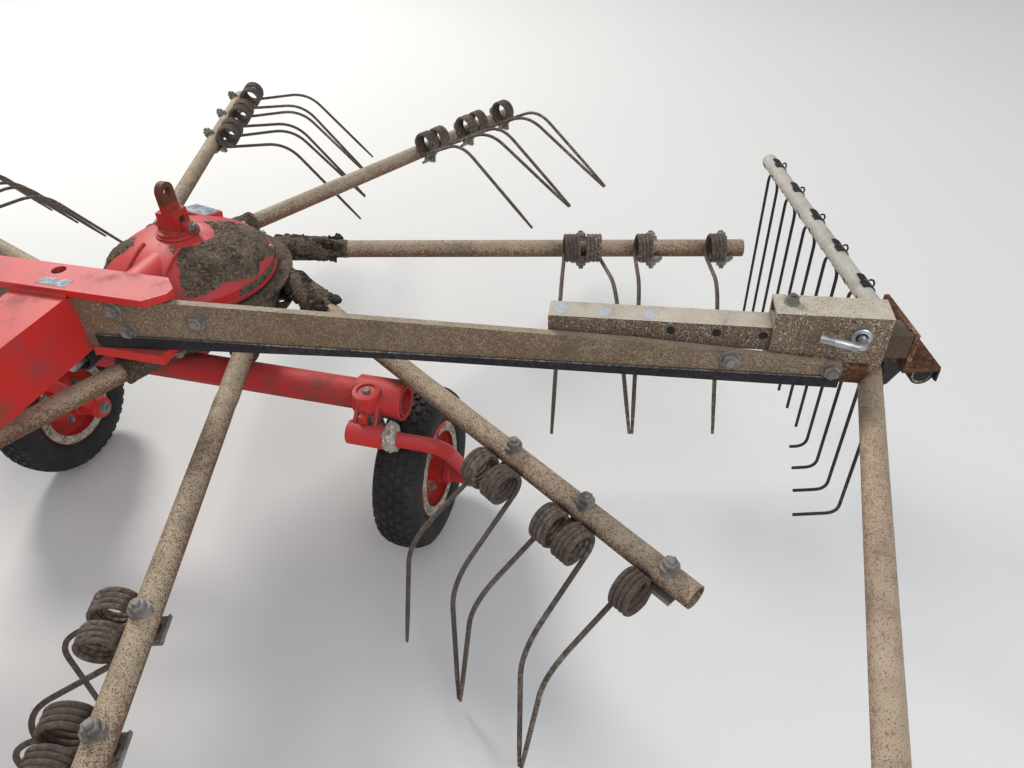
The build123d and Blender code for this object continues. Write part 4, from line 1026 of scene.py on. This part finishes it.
def make_caked_dirt(sizes):
    """Dirt on the housing, in the rotor carrier and on the sockets."""
    cake = bmesh.new()

    def over_dome(turn_low, turn_high, out, inner):
        def surface(u, v):
            t = radians(turn_low + (turn_high - turn_low) * v)
            r = inner + (out - inner) * u
            slope = (dome_height(min(r + 0.002, DOME_RADIUS)) - dome_height(max(r - 0.002, 0.0))) / 0.004
            up = (Vector((0, 0, 1)) - polar(max(slope, -2.5), t)).normalized()
            return polar(r, t, dome_height(min(r, DOME_RADIUS))), up
        return surface

    crust(cake, over_dome(108, 248, DOME_RADIUS - 0.0005, 0.062), 46, 110, sizes.dirt, 1, 0.28, 13.0)
    crust(cake, over_dome(6, 42, DOME_RADIUS - 0.0005, 0.085), 26, 34, sizes.dirt * 0.7, 2, 0.1, 18.0)

    def on_rim(u, v):
        t = radians(150 + 95 * v)
        return polar(DOME_RADIUS, t, DOME_LOW + 0.003 + 0.024 * u), polar(1, t)

    crust(cake, on_rim, 8, 110, sizes.dirt * 0.45, 4, 0.05, 20.0)
    new_piece("housing_dirt", cake, "dried_dirt", sharp=60)

    hub = bmesh.new()
    clods = bmesh.new()
    for name, direction, droop, roll, missing in ARMS:
        place = arm_frame(direction, droop)
        heavy = name in "cd"
        reach = SOCKET_REACH + (0.055 if heavy else -0.003)
        for k in range(26 if heavy else 0):
            s = 0.150 + 0.155 * ((k * 7) % 26) / 25
            size = 0.010 + 0.005 * ((k * 5) % 7) / 6
            spot = polar(SOCKET_RADIUS - 0.002, radians(-40 + 260 * ((k * 11) % 26) / 25))
            lump(clods, place @ Vector((s, spot.x, spot.y)), (size, size * 0.9, size * 0.8), 40 + k, 0.7, 2)

        def along_socket(u, v, place=place, reach=reach):
            t = radians(-75 + 330 * v)
            s = 0.13 + (reach - 0.13) * u
            radius = SOCKET_RADIUS if s < SOCKET_REACH else ARM_RADIUS
            way = Vector((0, cos(t), sin(t)))
            return place @ (Vector((s, 0, 0)) + way * radius), place.to_3x3() @ way

        thickness = sizes.dirt * 0.62 * (1.0 if heavy else 0.55)
        crust(hub, along_socket, 24, 34, thickness, 11 + ord(name), 0.3 if heavy else 0.05, 22.0)

    def over_carrier(u, v):
        return polar(0.160 + (CARRIER_RADIUS - 0.161) * u, 2 * pi * v, CARRIER_TOP), Vector((0, 0, 1))

    crust(hub, over_carrier, 12, 170, 0.004, 6, 0.3, 24.0)
    for mesh in (hub, clods):
        for vert in mesh.verts:
            if hypot(vert.co.x, vert.co.y) < PASSING_RADIUS:
                vert.co.z = min(vert.co.z, PASSING_HEIGHT)
    pits = bmesh.new()
    for k in range(24):
        spot = polar(0.211, radians(15 * k + 4 * (k % 3)), CARRIER_TOP + 0.0002)
        lump(pits, spot, (0.0085, 0.0065, 0.0008), 70 + k, 0.4, 2)
    new_piece("rotor_dirt", hub, "dirty_iron", "rotor", sharp=60)
    new_piece("socket_clods", clods, "black_dirt", "rotor", sharp=60)
    new_piece("carrier_pits", pits, "black_dirt", "rotor", sharp=60)

    corner = bmesh.new()
    for k, (spot, size) in enumerate((
        ((-0.078, 0.338, 0.634), (0.028, 0.030, 0.016)), ((-0.110, 0.345, 0.633), (0.030, 0.022, 0.010)),
        ((-0.073, 0.312, 0.633), (0.016, 0.020, 0.014)), ((-0.150, 0.335, 0.632), (0.030, 0.018, 0.007)),
        ((0.085, 0.338, 0.633), (0.030, 0.026, 0.012)),
    )):
        lump(corner, spot, size, 20 + k, 0.5)
    for k, straw in enumerate((
        (-0.071, 0.322, 0.640), (-0.085, 0.366, 0.637), (-0.100, 0.330, 0.643), (-0.118, 0.352, 0.640),
        (-0.090, 0.310, 0.640),
    )):
        spot = Vector(straw)
        half = polar(1, radians(40 * k + 15), 0.15 * (k % 3 - 1)) * 0.030
        wire(corner, [spot - half, spot + Vector((0, 0, 0.004)), spot + half], 0.0011, 5)
    new_piece("beam_corner_dirt", corner, "dried_dirt", sharp=50)


def make_beam_fittings():
    """Blank label, bolts, lips and welds of the main beam and the cross beams."""
    label = bmesh.new()
    slab(label, [(0.013, 0.374), (0.007, 0.353), (-0.056, 0.353), (-0.051, 0.376)], 0.7548, 0.7556, None, 0.0)
    new_piece("top_plate_label", label, "label")
    heads = []
    for side in (-1, 1):
        for k, (along, height) in enumerate(CROSS_BOLTS):
            heads.append((cross_face(along, 0.0, height, side), 0.024, 0.009, 0.004, 14 * k))
        for x in (0.205, 0.150):
            heads.append((facing((side * x, 0.330, 0.610), (0, 0, -1)), 0.022, 0.010, 0.006, 9))
    bolt_piece("cross_beam_bolts", heads)
    lips = bmesh.new()
    edges = bmesh.new()
    for side in (-1, 1):
        rings = []
        for along, low, high in CROSS_LIP:
            section = (
                (0.0008, high), (-0.0012, high + 0.0008), (-0.0032, high - 0.0006), (-0.0036, high - 0.004),
                (-0.0036, low + 0.003), (-0.0024, low), (0.0008, low - 0.0008), (0.0132, low - 0.0006),
                (0.0132, low + 0.0004), (0.0020, low + 0.0008),
            )
            rings.append([lips.verts.new(cross_spot(along, back, height, side)) for back, height in section])
        bridge(lips, rings)
        # A pale round bead along the lip's upper edge
        rim = [cross_spot(along, -0.0026, high - 0.0002, side) for along, low, high in CROSS_LIP]
        wire(edges, rim, 0.0013, 6)
    new_piece("cross_beam_lips", lips, "dark_edge")
    new_piece("cross_beam_edges", edges, "bare_edge")
    weld_piece("beam_welds", (
        (0.004, (0.061, 0.3125, 0.743), (0.061, 0.384, 0.743)),
        (0.0045, (0.060, 0.3135, 0.622), (0.060, 0.3135, 0.741)),
        (0.004, (0.0605, 0.300, 0.609), (0.0605, 0.380, 0.609)),
        (0.004, (0.052, 1.4600, 0.636), (0.052, 1.4600, 0.728)),
    ), (
        (0.0045, (-0.060, 0.384, 0.742), (0.060, 0.384, 0.742)),
        (0.0045, (-0.060, 0.305, 0.742), (0.060, 0.305, 0.742)),
    ))
    cap = bmesh.new()
    brick(cap, (-0.0535, 0.6285, -1.4585), (0.0535, 0.7345, -1.4535), rotated(90, "X"), 0.001)
    new_piece("beam_end_cap", cap, "faded_red_paint")


def make_swath_rods(place):
    """Bent wires of the swath former, two legs each, with their clips and, for the holes that they hang from,
    dark discs that paint the shade in them.
    """
    rods = bmesh.new()
    clips = bmesh.new()
    holes = bmesh.new()
    way = place.to_3x3() @ Vector((1, 0, 0))
    inward = place.to_3x3() @ Vector((0, 1, 0))
    high = SWATH_RADIUS + 0.0038
    for k, station in enumerate(SWATH_STATIONS):
        band = place @ moved(station, 0, 0)
        radii = (SWATH_RADIUS + 0.0002, SWATH_RADIUS + 0.0026)
        strap(clips, band, (-0.023, -0.004), (-22, 112), radii)
        strap(clips, band, (0.015, 0.023), (-8, 112), radii)
        strap(clips, band, (-0.004, 0.015), (-10, 16), radii, 4)
        strap(clips, band, (-0.004, 0.015), (58, 112), radii, 6)
        strap(clips, band, (-0.020, 0.020), (100, 112), (SWATH_RADIUS + 0.002, SWATH_RADIUS + 0.0050), 3)
        spots = []
        for s, turn, rise in (
            (-0.006, -72, 0.0012), (-0.002, -66, 0.0052), (0.004, -60, 0.0062), (0.009, -62, 0.0040),
            (0.012, -66, 0.0012),
        ):
            spot = polar(high + rise, radians(turn))
            spots.append(band @ Vector((s, spot.y, spot.x)))
        wire(clips, spots, 0.0019, 6)
        legs = []
        for step in (-0.5, 0.5):
            along = station + step * ROD_SPACING
            spot = SWATH_FRONT + way * along
            toe = min(ROD_TOE, hypot(spot.x, spot.y) - ROTOR_SWEEP - ROD_RADIUS)
            low = spot - Vector((0, 0, ROD_LENGTH))
            leg = [spot - Vector((0, 0, SWATH_RADIUS + 0.0003 + ROD_RADIUS)), low]
            if toe > ROD_BEND:
                leg.append(low + inward * toe)
            legs.append(leg)
            # Painted shade: each hole is a flat dark disc on the tube round a leg
            for turn in (105, 143) if k % 2 else (143,):
                out = Vector((0, sin(radians(turn)), cos(radians(turn))))
                spot = place @ (out * SWATH_RADIUS + Vector((along + 0.004, 0, 0)))
                hole = facing(spot, place.to_3x3() @ out)
                turned(holes, [(0.0046, -0.0004), (0.0052, 0.0003), (0, 0.0003)], hole, 14)
        wire(rods, rounded(legs[0][::-1] + legs[1], ROD_BEND), ROD_RADIUS, 8)
    new_piece("swath_hanging_rods", rods, "tine_steel", "swath_former", ("swath_rods",), 40)
    new_piece("swath_clips", clips, "black_clip", "swath_former")
    new_piece("swath_holes", holes, "dark_edge", "swath_former")


def make_swath_fittings():
    """The swath former's rods, its bracket's plates and collar, and what is on its slide and sleeve."""
    way = (SWATH_REAR - SWATH_FRONT).normalized()
    inward = Vector((-way.y, way.x, 0))
    up = Vector((0, 0, 1))
    place = Matrix((way, inward, up)).transposed().to_4x4()
    place.translation = SWATH_FRONT
    make_swath_rods(place)
    upright = Matrix((way, up, -inward)).transposed().to_4x4()
    upright.translation = SWATH_FRONT - up * SWATH_FRONT.z
    plates = bmesh.new()
    ear = [(0.004, 0.6722), (0.112, 0.6722), (0.124, 0.640), (0.066, 0.606), (0.046, 0.598), (0.024, 0.642)]
    slab(plates, ear, -0.030, -0.024, upright, 0.001)
    brick(plates, (-0.012, 0.0, -0.006), (0.080, 0.004, 0.018), place @ moved(0, -0.0205, 0), 0.001)
    new_piece("swath_ear", plates, "dark_steel", "swath_former")
    bar = bmesh.new()
    outline = [(-0.010, -0.009), (0.082, -0.012), (0.088, -0.004), (0.082, 0.002), (-0.010, 0.004)]
    slab(bar, outline, 0.0172, 0.0192, place, 0.0006)
    new_piece("swath_bar", bar, "rusty_tube", "swath_former")
    collar = bmesh.new()
    mouth = facing(SWATH_FRONT, -way)
    out = SWATH_RADIUS + 0.0030
    section = [(SWATH_RADIUS - 0.003, 0.0), (out, 0.0), (out, -0.030), (SWATH_RADIUS + 0.0003, -0.031)]
    turned(collar, section, mouth)
    turned(collar, [(0.0139, -0.012), (0.0139, -0.020), (0, -0.020)], mouth, 24)
    for s, h in ((0.020, 0.7080), (0.072, 0.7180)):
        spot = place @ Vector((s, 0.036, h - SWATH_FRONT.z))
        bolt_head(collar, facing(spot, -inward), 0.016, 0.006, 0.004)
    new_piece("swath_collar", collar, "dark_steel", "swath_former")
    weld_piece("swath_welds", (), (
        (0.0022, *(place @ Vector((s, 0.0445, 0.746 - SWATH_FRONT.z)) for s in (0.000, 0.050))),
        (0.0025, *(place @ Vector((s, 0.0355, 0.6808 - SWATH_FRONT.z)) for s in (-0.012, 0.102))),
    ), "rusty_tube", "swath_former")
    make_slide_marks()
    make_sleeve_fittings()


def make_slide_marks():
    """Row of dark discs for the lock holes along the slide, painting the shade inside them, and the pale
    bluish patches on its top.
    """
    holes = bmesh.new()
    # Painted shade: each lock hole is a flat dark disc on the slide, not cut through it
    for k in range(1, 5):
        hole = cross_face(LOCK_ALONG - 0.0733 * k, SLIDE_BACK, LOCK_HEIGHT - 0.012)
        turned(holes, [(0.0072, -0.0003), (0.0074, 0.0002), (0, 0.0002)], hole, 20)
    new_piece("slide_holes", holes, "dark_edge", "swath_former")
    # Three pale bluish patches on the slide's top, 73 mm apart
    patches = bmesh.new()
    for k, along in enumerate((0.880, 0.953, 1.026)):
        middle = cross_spot(along, SLIDE_BACK + 0.020, SLIDE_TOP)
        ring = []
        for t in turns(28):
            reach = 0.0125 + 0.004 * noise.noise(Vector((k * 3.0, cos(t) * 1.4, sin(t) * 1.4)))
            spot = middle + Vector((reach * cos(t) * 0.9, reach * sin(t) * 1.15, 0.0002))
            ring.append(patches.verts.new(spot))
        patches.faces.new(ring)
    new_piece("slide_bare_patches", patches, "bare_patch", "swath_former")


def make_sleeve_fittings():
    """Bolts and bush of the sleeve, and the plates at the cross beams' ends."""
    bolt_piece("sleeve_bolts", (
        (Matrix.Translation(cross_spot(1.247, SLEEVE_BACK + 0.034, SLEEVE_TOP)), 0.017, 0.011, 0.003),
        (facing(cross_spot(1.388, SLEEVE_BACK + 0.030, SLEEVE_BOTTOM), (0, 0, -1)), 0.018, 0.008, 0.005),
    ))
    ring = bmesh.new()
    bush = [
        (0.0085, 0.0), (0.0160, 0.0), (0.0165, 0.002), (0.0150, 0.0036), (0.0100, 0.0038), (0.0085, 0.0024),
    ]
    turned(ring, bush, cross_face(LOCK_ALONG, SLEEVE_BACK, LOCK_HEIGHT), closed=True)
    new_piece("sleeve_bush", ring, "zinc_steel")
    plates = bmesh.new()
    weld(plates, [cross_spot(1.224, 0.0136, 0.7036), cross_spot(1.333, 0.0136, 0.6968)], 0.0026)
    outline = [(1.336, 0.0070), (1.376, 0.0070), (1.379, 0.0136), (1.336, 0.0136)]
    for side, low, high in ((-1, 0.655, 0.6905), (1, 0.6525, 0.6712)):
        place = cross_frame(side)
        if place.col[2].z < 0:
            low, high = -high, -low
        slab(plates, outline, low, high, place, 0.0008)
    new_piece("beam_end_plates", plates, "rusty_tube")


def make_hitch_fittings():
    """Gussets, linch pins and welds of the headstock, and the stand's fittings."""
    plates = bmesh.new()
    for side in (-1, 1):
        for z in (0.632, 0.724):
            outline = [(side * 0.036, 1.560), (side * 0.036, 1.616), (side * 0.100, 1.616)]
            slab(plates, outline, z - 0.004, z + 0.004, None, 0.001)
        outline = [(side * 0.120, 0.458), (side * 0.235, 0.458), (side * 0.116, 0.560)]
        slab(plates, outline, -1.644, -1.636, rotated(90, "X"), 0.001)
        lug = facing((side * 0.3418, LINK_PIN_Y, LINK_PIN_HEIGHT), (side, 0, 0))
        turned(plates, [(0.030, -0.002), (0.030, 0.0), (0.016, 0.0045), (0.0115, 0.0045), (0.0115, 0.0)], lug)
    new_piece("headstock_gussets", plates, "faded_red_paint", "headstock")
    pins = bmesh.new()
    for side in (-1, 1):
        spot = Vector((side * 0.382, LINK_PIN_Y, LINK_PIN_HEIGHT))
        wire(pins, [spot + Vector((0, 0, -0.020)), spot + Vector((0, 0, 0.018))], 0.0028, 8)
        loop = facing(spot + Vector((0, 0, 0.002)), (1, 0, 0))
        wire(pins, circle_points(loop, 0.0175, 26, 95, 430), 0.0016, 6)
    new_piece("linch_pins", pins, "zinc_steel", "headstock")
    weld_piece("headstock_welds", (
        (0.004, (0.038, 1.615, 0.650), (0.038, 1.615, 0.715)),
        (0.004, (0.130, 1.6655, 0.462), (0.085, 1.6655, 0.462)),
    ), body="headstock")
    stand = bmesh.new()
    # Painted shade: the stand leg's pin holes are flat dark discs
    for height in (0.30, 0.38, 0.46, 0.54):
        hole = facing((STAND_X + 0.0200, STAND_Y, height), (1, 0, 0))
        turned(stand, [(0.0060, 0.0), (0.0060, 0.0002), (0, 0.0002)], hole, 16)
    leg = moved(STAND_X, STAND_Y, 0)
    brick(stand, (-0.030, -0.030, 0.008), (0.030, 0.030, 0.0115), leg, 0.001)
    new_piece("stand_collar", stand, "dark_steel", "stand")
    crown = bmesh.new()
    brick(crown, (-0.0205, -0.0205, 0.800), (0.0205, 0.0205, 0.803), leg, 0.001)
    new_piece("stand_cap", crown, "black_plastic", "stand")
    clamp = bmesh.new()
    spot = Vector((STAND_X + 0.026, STAND_Y, 0.690))
    bolt_head(clamp, facing(spot, (1, 0, 0)), 0.020, 0.014, 0.012, washer=False)
    handle = ((0.028, -0.030, 0), (0.030, 0, 0), (0.028, 0.030, 0))
    wire(clamp, [spot + Vector(shift) for shift in handle], 0.004)
    new_piece("stand_clamp", clamp, "zinc_steel")


def make_guard_fittings():
    """Bands, bolts and welds of the guard tubes."""
    clamps = bmesh.new()
    wide = [(0.0195, -0.012), (0.0235, -0.012), (0.0235, 0.012), (0.0195, 0.012)]
    narrow = [(0.0195, -0.020), (0.0225, -0.020), (0.0225, 0.0), (0.0195, 0.0)]
    heads = []
    for side in (-1, 1):
        for x in GUARD_CLAMPS:
            band = facing((side * x, GUARD_FRONT, GUARD_HEIGHT), (1, 0, 0))
            turned(clamps, wide, band, 28, True)
            top = facing((side * x, GUARD_FRONT, GUARD_HEIGHT + 0.0228), (0, 0, 1))
            heads.append((top, 0.016, 0.007, 0.005))
        end = facing((side * 1.4401, 0.1455, GUARD_HEIGHT), (side * 0.0389, -1, 0))
        turned(clamps, narrow, end, 28, True)
    new_piece("guard_bands", clamps, "dark_steel")
    bracket = facing(cross_spot(1.382, 0.044, SLEEVE_BOTTOM + 0.010, 1), (0, 0, 1))
    bolt_piece("guard_bolts", (*heads, (bracket, 0.018, 0.008, 0.005)))
    seam = circle_points(facing((0.0610, GUARD_FRONT, GUARD_HEIGHT), (1, 0, 0)), 0.0196)
    weld_piece("guard_welds", ((0.0035, *seam),), finish="worn_beige_paint")


def make_input_fittings():
    """Splines of the input stub and the lip of its guard."""
    splines = bmesh.new()
    for t in turns(6):
        place = moved(0, 0, INPUT_HEIGHT) @ Matrix.Rotation(t, 4, "Y")
        brick(splines, (-0.0040, 0.330, 0.0160), (0.0040, 0.3945, 0.0174), place, 0.0006)
    new_piece("input_splines", splines, "zinc_steel", "input")
    bell = bmesh.new()
    ring = facing((0, 0.372, INPUT_HEIGHT), (0, 1, 0))
    turned(bell, [(0.0300, -0.010), (0.0308, -0.010), (0.0308, -0.002), (0.0300, 0.0)], ring, 40, closed=True)
    new_piece("input_guard_lip", bell, "black_plastic")


# What each CAD node that stays is finished in
NODE_FINISHES = {
    "faded_red_paint": (
        "gear_housing", "main_beam", "top_plate", "lower_plate", "axle_casting_left", "axle_casting_right",
        "crank_left", "crank_right", "headstock", "stand_guide",
    ),
    "dirty_red": ("axle_tube", "centre_post"),
    "lug_red": ("lug",),
    "wheel_red": ("rim_left", "rim_right"),
    "worn_beige_paint": ("arm_a", "arm_b", "arm_c", "arm_d", "arm_f", "arm_g", "arm_h", "stand_leg"),
    "guard_paint": ("guard_left", "guard_right"),
    "cross_beam_paint": ("cross_beam_left", "cross_beam_right", "guard_bracket_right"),
    "sleeve_paint": ("sleeve",),
    "slide_paint": ("slide_tube",),
    "white_paint": ("swath_tube",),
    "dirty_iron": ("rotor_carrier",),
    "rusty_tube": ("swath_bracket",),
    "dark_steel": ("swivel_pin", "stand_foot", "lower_link_pins"),
    "zinc_steel": ("lock_pin", "input_shaft"),
    "black_plastic": ("input_guard",),
}


class RAKE_OT_finishes(Operator):
    """Make the worn finishes and put them on the rake's plain pieces"""

    bl_idname = "rake.finishes"
    bl_label = "Finishes"

    def execute(self, context):
        make_finishes(context.scene.rake_colours)
        for finish, nodes in NODE_FINISHES.items():
            for name in nodes:
                data = frame["nodes"][name].data
                data.materials.clear()
                data.materials.append(bpy.data.materials[LOOK + finish])
        return {"FINISHED"}


class RAKE_OT_tines(Operator):
    """Build the spring tines and their clamps on all eight arms"""

    bl_idname = "rake.tines"
    bl_label = "Tines"

    def execute(self, context):
        for name, direction, droop, roll, missing in ARMS:
            make_tines(name, arm_frame(direction, droop, roll), missing, context.scene.rake_sizes)
        return {"FINISHED"}


class RAKE_OT_arms(Operator):
    """Build the dented arm tube and the lips of the sockets"""

    bl_idname = "rake.arms"
    bl_label = "Arms"

    def execute(self, context):
        for name, direction, droop, roll, missing in ARMS:
            make_arm_collar(name, arm_frame(direction, droop))
            if name == "e":
                dent_arm(arm_frame(direction, droop, roll))
        return {"FINISHED"}


class RAKE_OT_wheels(Operator):
    """Build the treaded tyres, the discs and the castings that carry them"""

    bl_idname = "rake.wheels"
    bl_label = "Wheels"

    def execute(self, context):
        for name, middle, shift in WHEELS:
            make_tyre(name, middle, context.scene.rake_sizes)
            make_wheel_fittings(name, middle)
            make_castings(name, shift)
        return {"FINISHED"}


class RAKE_OT_housing(Operator):
    """Build the pad, plate, seams and bolts of the gear housing and the input's splines"""

    bl_idname = "rake.housing"
    bl_label = "Gear housing"

    def execute(self, context):
        make_housing_fittings()
        make_input_fittings()
        return {"FINISHED"}


class RAKE_OT_dirt(Operator):
    """Cake dried dirt on the housing, the carrier and the sockets"""

    bl_idname = "rake.dirt"
    bl_label = "Caked dirt"

    def execute(self, context):
        make_caked_dirt(context.scene.rake_sizes)
        return {"FINISHED"}


class RAKE_OT_beams(Operator):
    """Build the label, bolts and welds of the beams"""

    bl_idname = "rake.beams"
    bl_label = "Beams"

    def execute(self, context):
        make_beam_fittings()
        return {"FINISHED"}


class RAKE_OT_swath(Operator):
    """Build the swath former's clips, rods, strap and bolts"""

    bl_idname = "rake.swath"
    bl_label = "Swath former"

    def execute(self, context):
        make_swath_fittings()
        return {"FINISHED"}


class RAKE_OT_hitch(Operator):
    """Build the headstock's and the stand's fittings"""

    bl_idname = "rake.hitch"
    bl_label = "Headstock and stand"

    def execute(self, context):
        make_hitch_fittings()
        return {"FINISHED"}


class RAKE_OT_guards(Operator):
    """Build the bands, bolts and welds of the guard tubes"""

    bl_idname = "rake.guards"
    bl_label = "Guards"

    def execute(self, context):
        make_guard_fittings()
        return {"FINISHED"}


class RAKE_OT_stage(Operator):
    """Set up the pale floor, the lamps and the camera at the photograph's angle"""

    bl_idname = "rake.stage"
    bl_label = "Stage"

    def execute(self, context):
        scene = context.scene
        mesh = bmesh.new()
        bmesh.ops.create_grid(mesh, x_segments=4, y_segments=4, size=60.0)
        data = bpy.data.meshes.new("floor")
        mesh.to_mesh(data)
        mesh.free()
        floor = bpy.data.objects.new("floor", data)
        scene.collection.objects.link(floor)
        finish = Finish("floor")
        pale = finish.mix(finish.noise(0.6, 2.0), (0.66, 0.66, 0.65), (0.70, 0.70, 0.69))
        data.materials.append(finish.close(pale, 0.9))
        world = bpy.data.worlds.new("studio")
        world.use_nodes = True
        sky = world.node_tree.nodes["Background"]
        sky.inputs["Color"].default_value = (0.92, 0.95, 1.0, 1.0)
        sky.inputs["Strength"].default_value = 0.55
        scene.world = world
        for name, spot, size, power, warmth in (
            ("sun_side", (4.2, -4.0, 5.2), 2.2, 470.0, (1.0, 0.96, 0.90)),
            ("fill_side", (-4.5, 3.5, 4.5), 4.0, 160.0, (0.93, 0.96, 1.0)),
        ):
            lamp = bpy.data.lights.new(name, "AREA")
            lamp.shape = "DISK"
            lamp.size = size
            lamp.energy = power
            lamp.color = warmth
            holder = bpy.data.objects.new(name, lamp)
            holder.location = spot
            way = Vector((-0.3, 0.3, 0.4)) - holder.location
            holder.rotation_euler = way.to_track_quat("-Z", "Y").to_euler()
            scene.collection.objects.link(holder)
        camera_data = bpy.data.cameras.new("photo_camera")
        camera_data.lens = CAMERA_LENS
        camera_data.sensor_width = 36.0
        camera_data.clip_start = 0.05
        camera = bpy.data.objects.new("photo_camera", camera_data)
        look = polar(cos(CAMERA_PITCH), CAMERA_AZIMUTH, -sin(CAMERA_PITCH))
        turn = look.to_track_quat("-Z", "Y").to_matrix().to_4x4() @ Matrix.Rotation(-CAMERA_ROLL, 4, "Z")
        camera.matrix_world = Matrix.Translation(CAMERA_PLACE) @ turn
        scene.collection.objects.link(camera)
        scene.camera = camera
        scene.view_settings.view_transform = "Standard"
        return {"FINISHED"}


OPERATORS = (
    RAKE_OT_finishes,
    RAKE_OT_tines,
    RAKE_OT_arms,
    RAKE_OT_wheels,
    RAKE_OT_housing,
    RAKE_OT_dirt,
    RAKE_OT_beams,
    RAKE_OT_swath,
    RAKE_OT_hitch,
    RAKE_OT_guards,
    RAKE_OT_stage,
)


class RAKE_PT_panel(Panel):
    """Sizes, colours and building steps of the rake"""

    bl_idname = "RAKE_PT_panel"
    bl_label = "Rotary Rake"
    bl_space_type = "VIEW_3D"
    bl_region_type = "UI"
    bl_category = "Rake"

    def draw(self, context):
        for group in (context.scene.rake_sizes, context.scene.rake_colours):
            box = self.layout.box()
            for name in group.__annotations__:
                box.prop(group, name)
        for operator in OPERATORS:
            self.layout.operator(operator.bl_idname)


CLASSES = (RakeSizes, RakeColours, *OPERATORS, RAKE_PT_panel)


def register():
    for item in CLASSES:
        bpy.utils.register_class(item)
    bpy.types.Scene.rake_sizes = PointerProperty(type=RakeSizes)
    bpy.types.Scene.rake_colours = PointerProperty(type=RakeColours)


def unregister():
    del bpy.types.Scene.rake_colours
    del bpy.types.Scene.rake_sizes
    for item in reversed(CLASSES):
        bpy.utils.unregister_class(item)


def main():
    register()
    for operator in OPERATORS:
        family, name = operator.bl_idname.split(".")
        getattr(getattr(bpy.ops, family), name)()


if __name__ == "__main__":
    main()
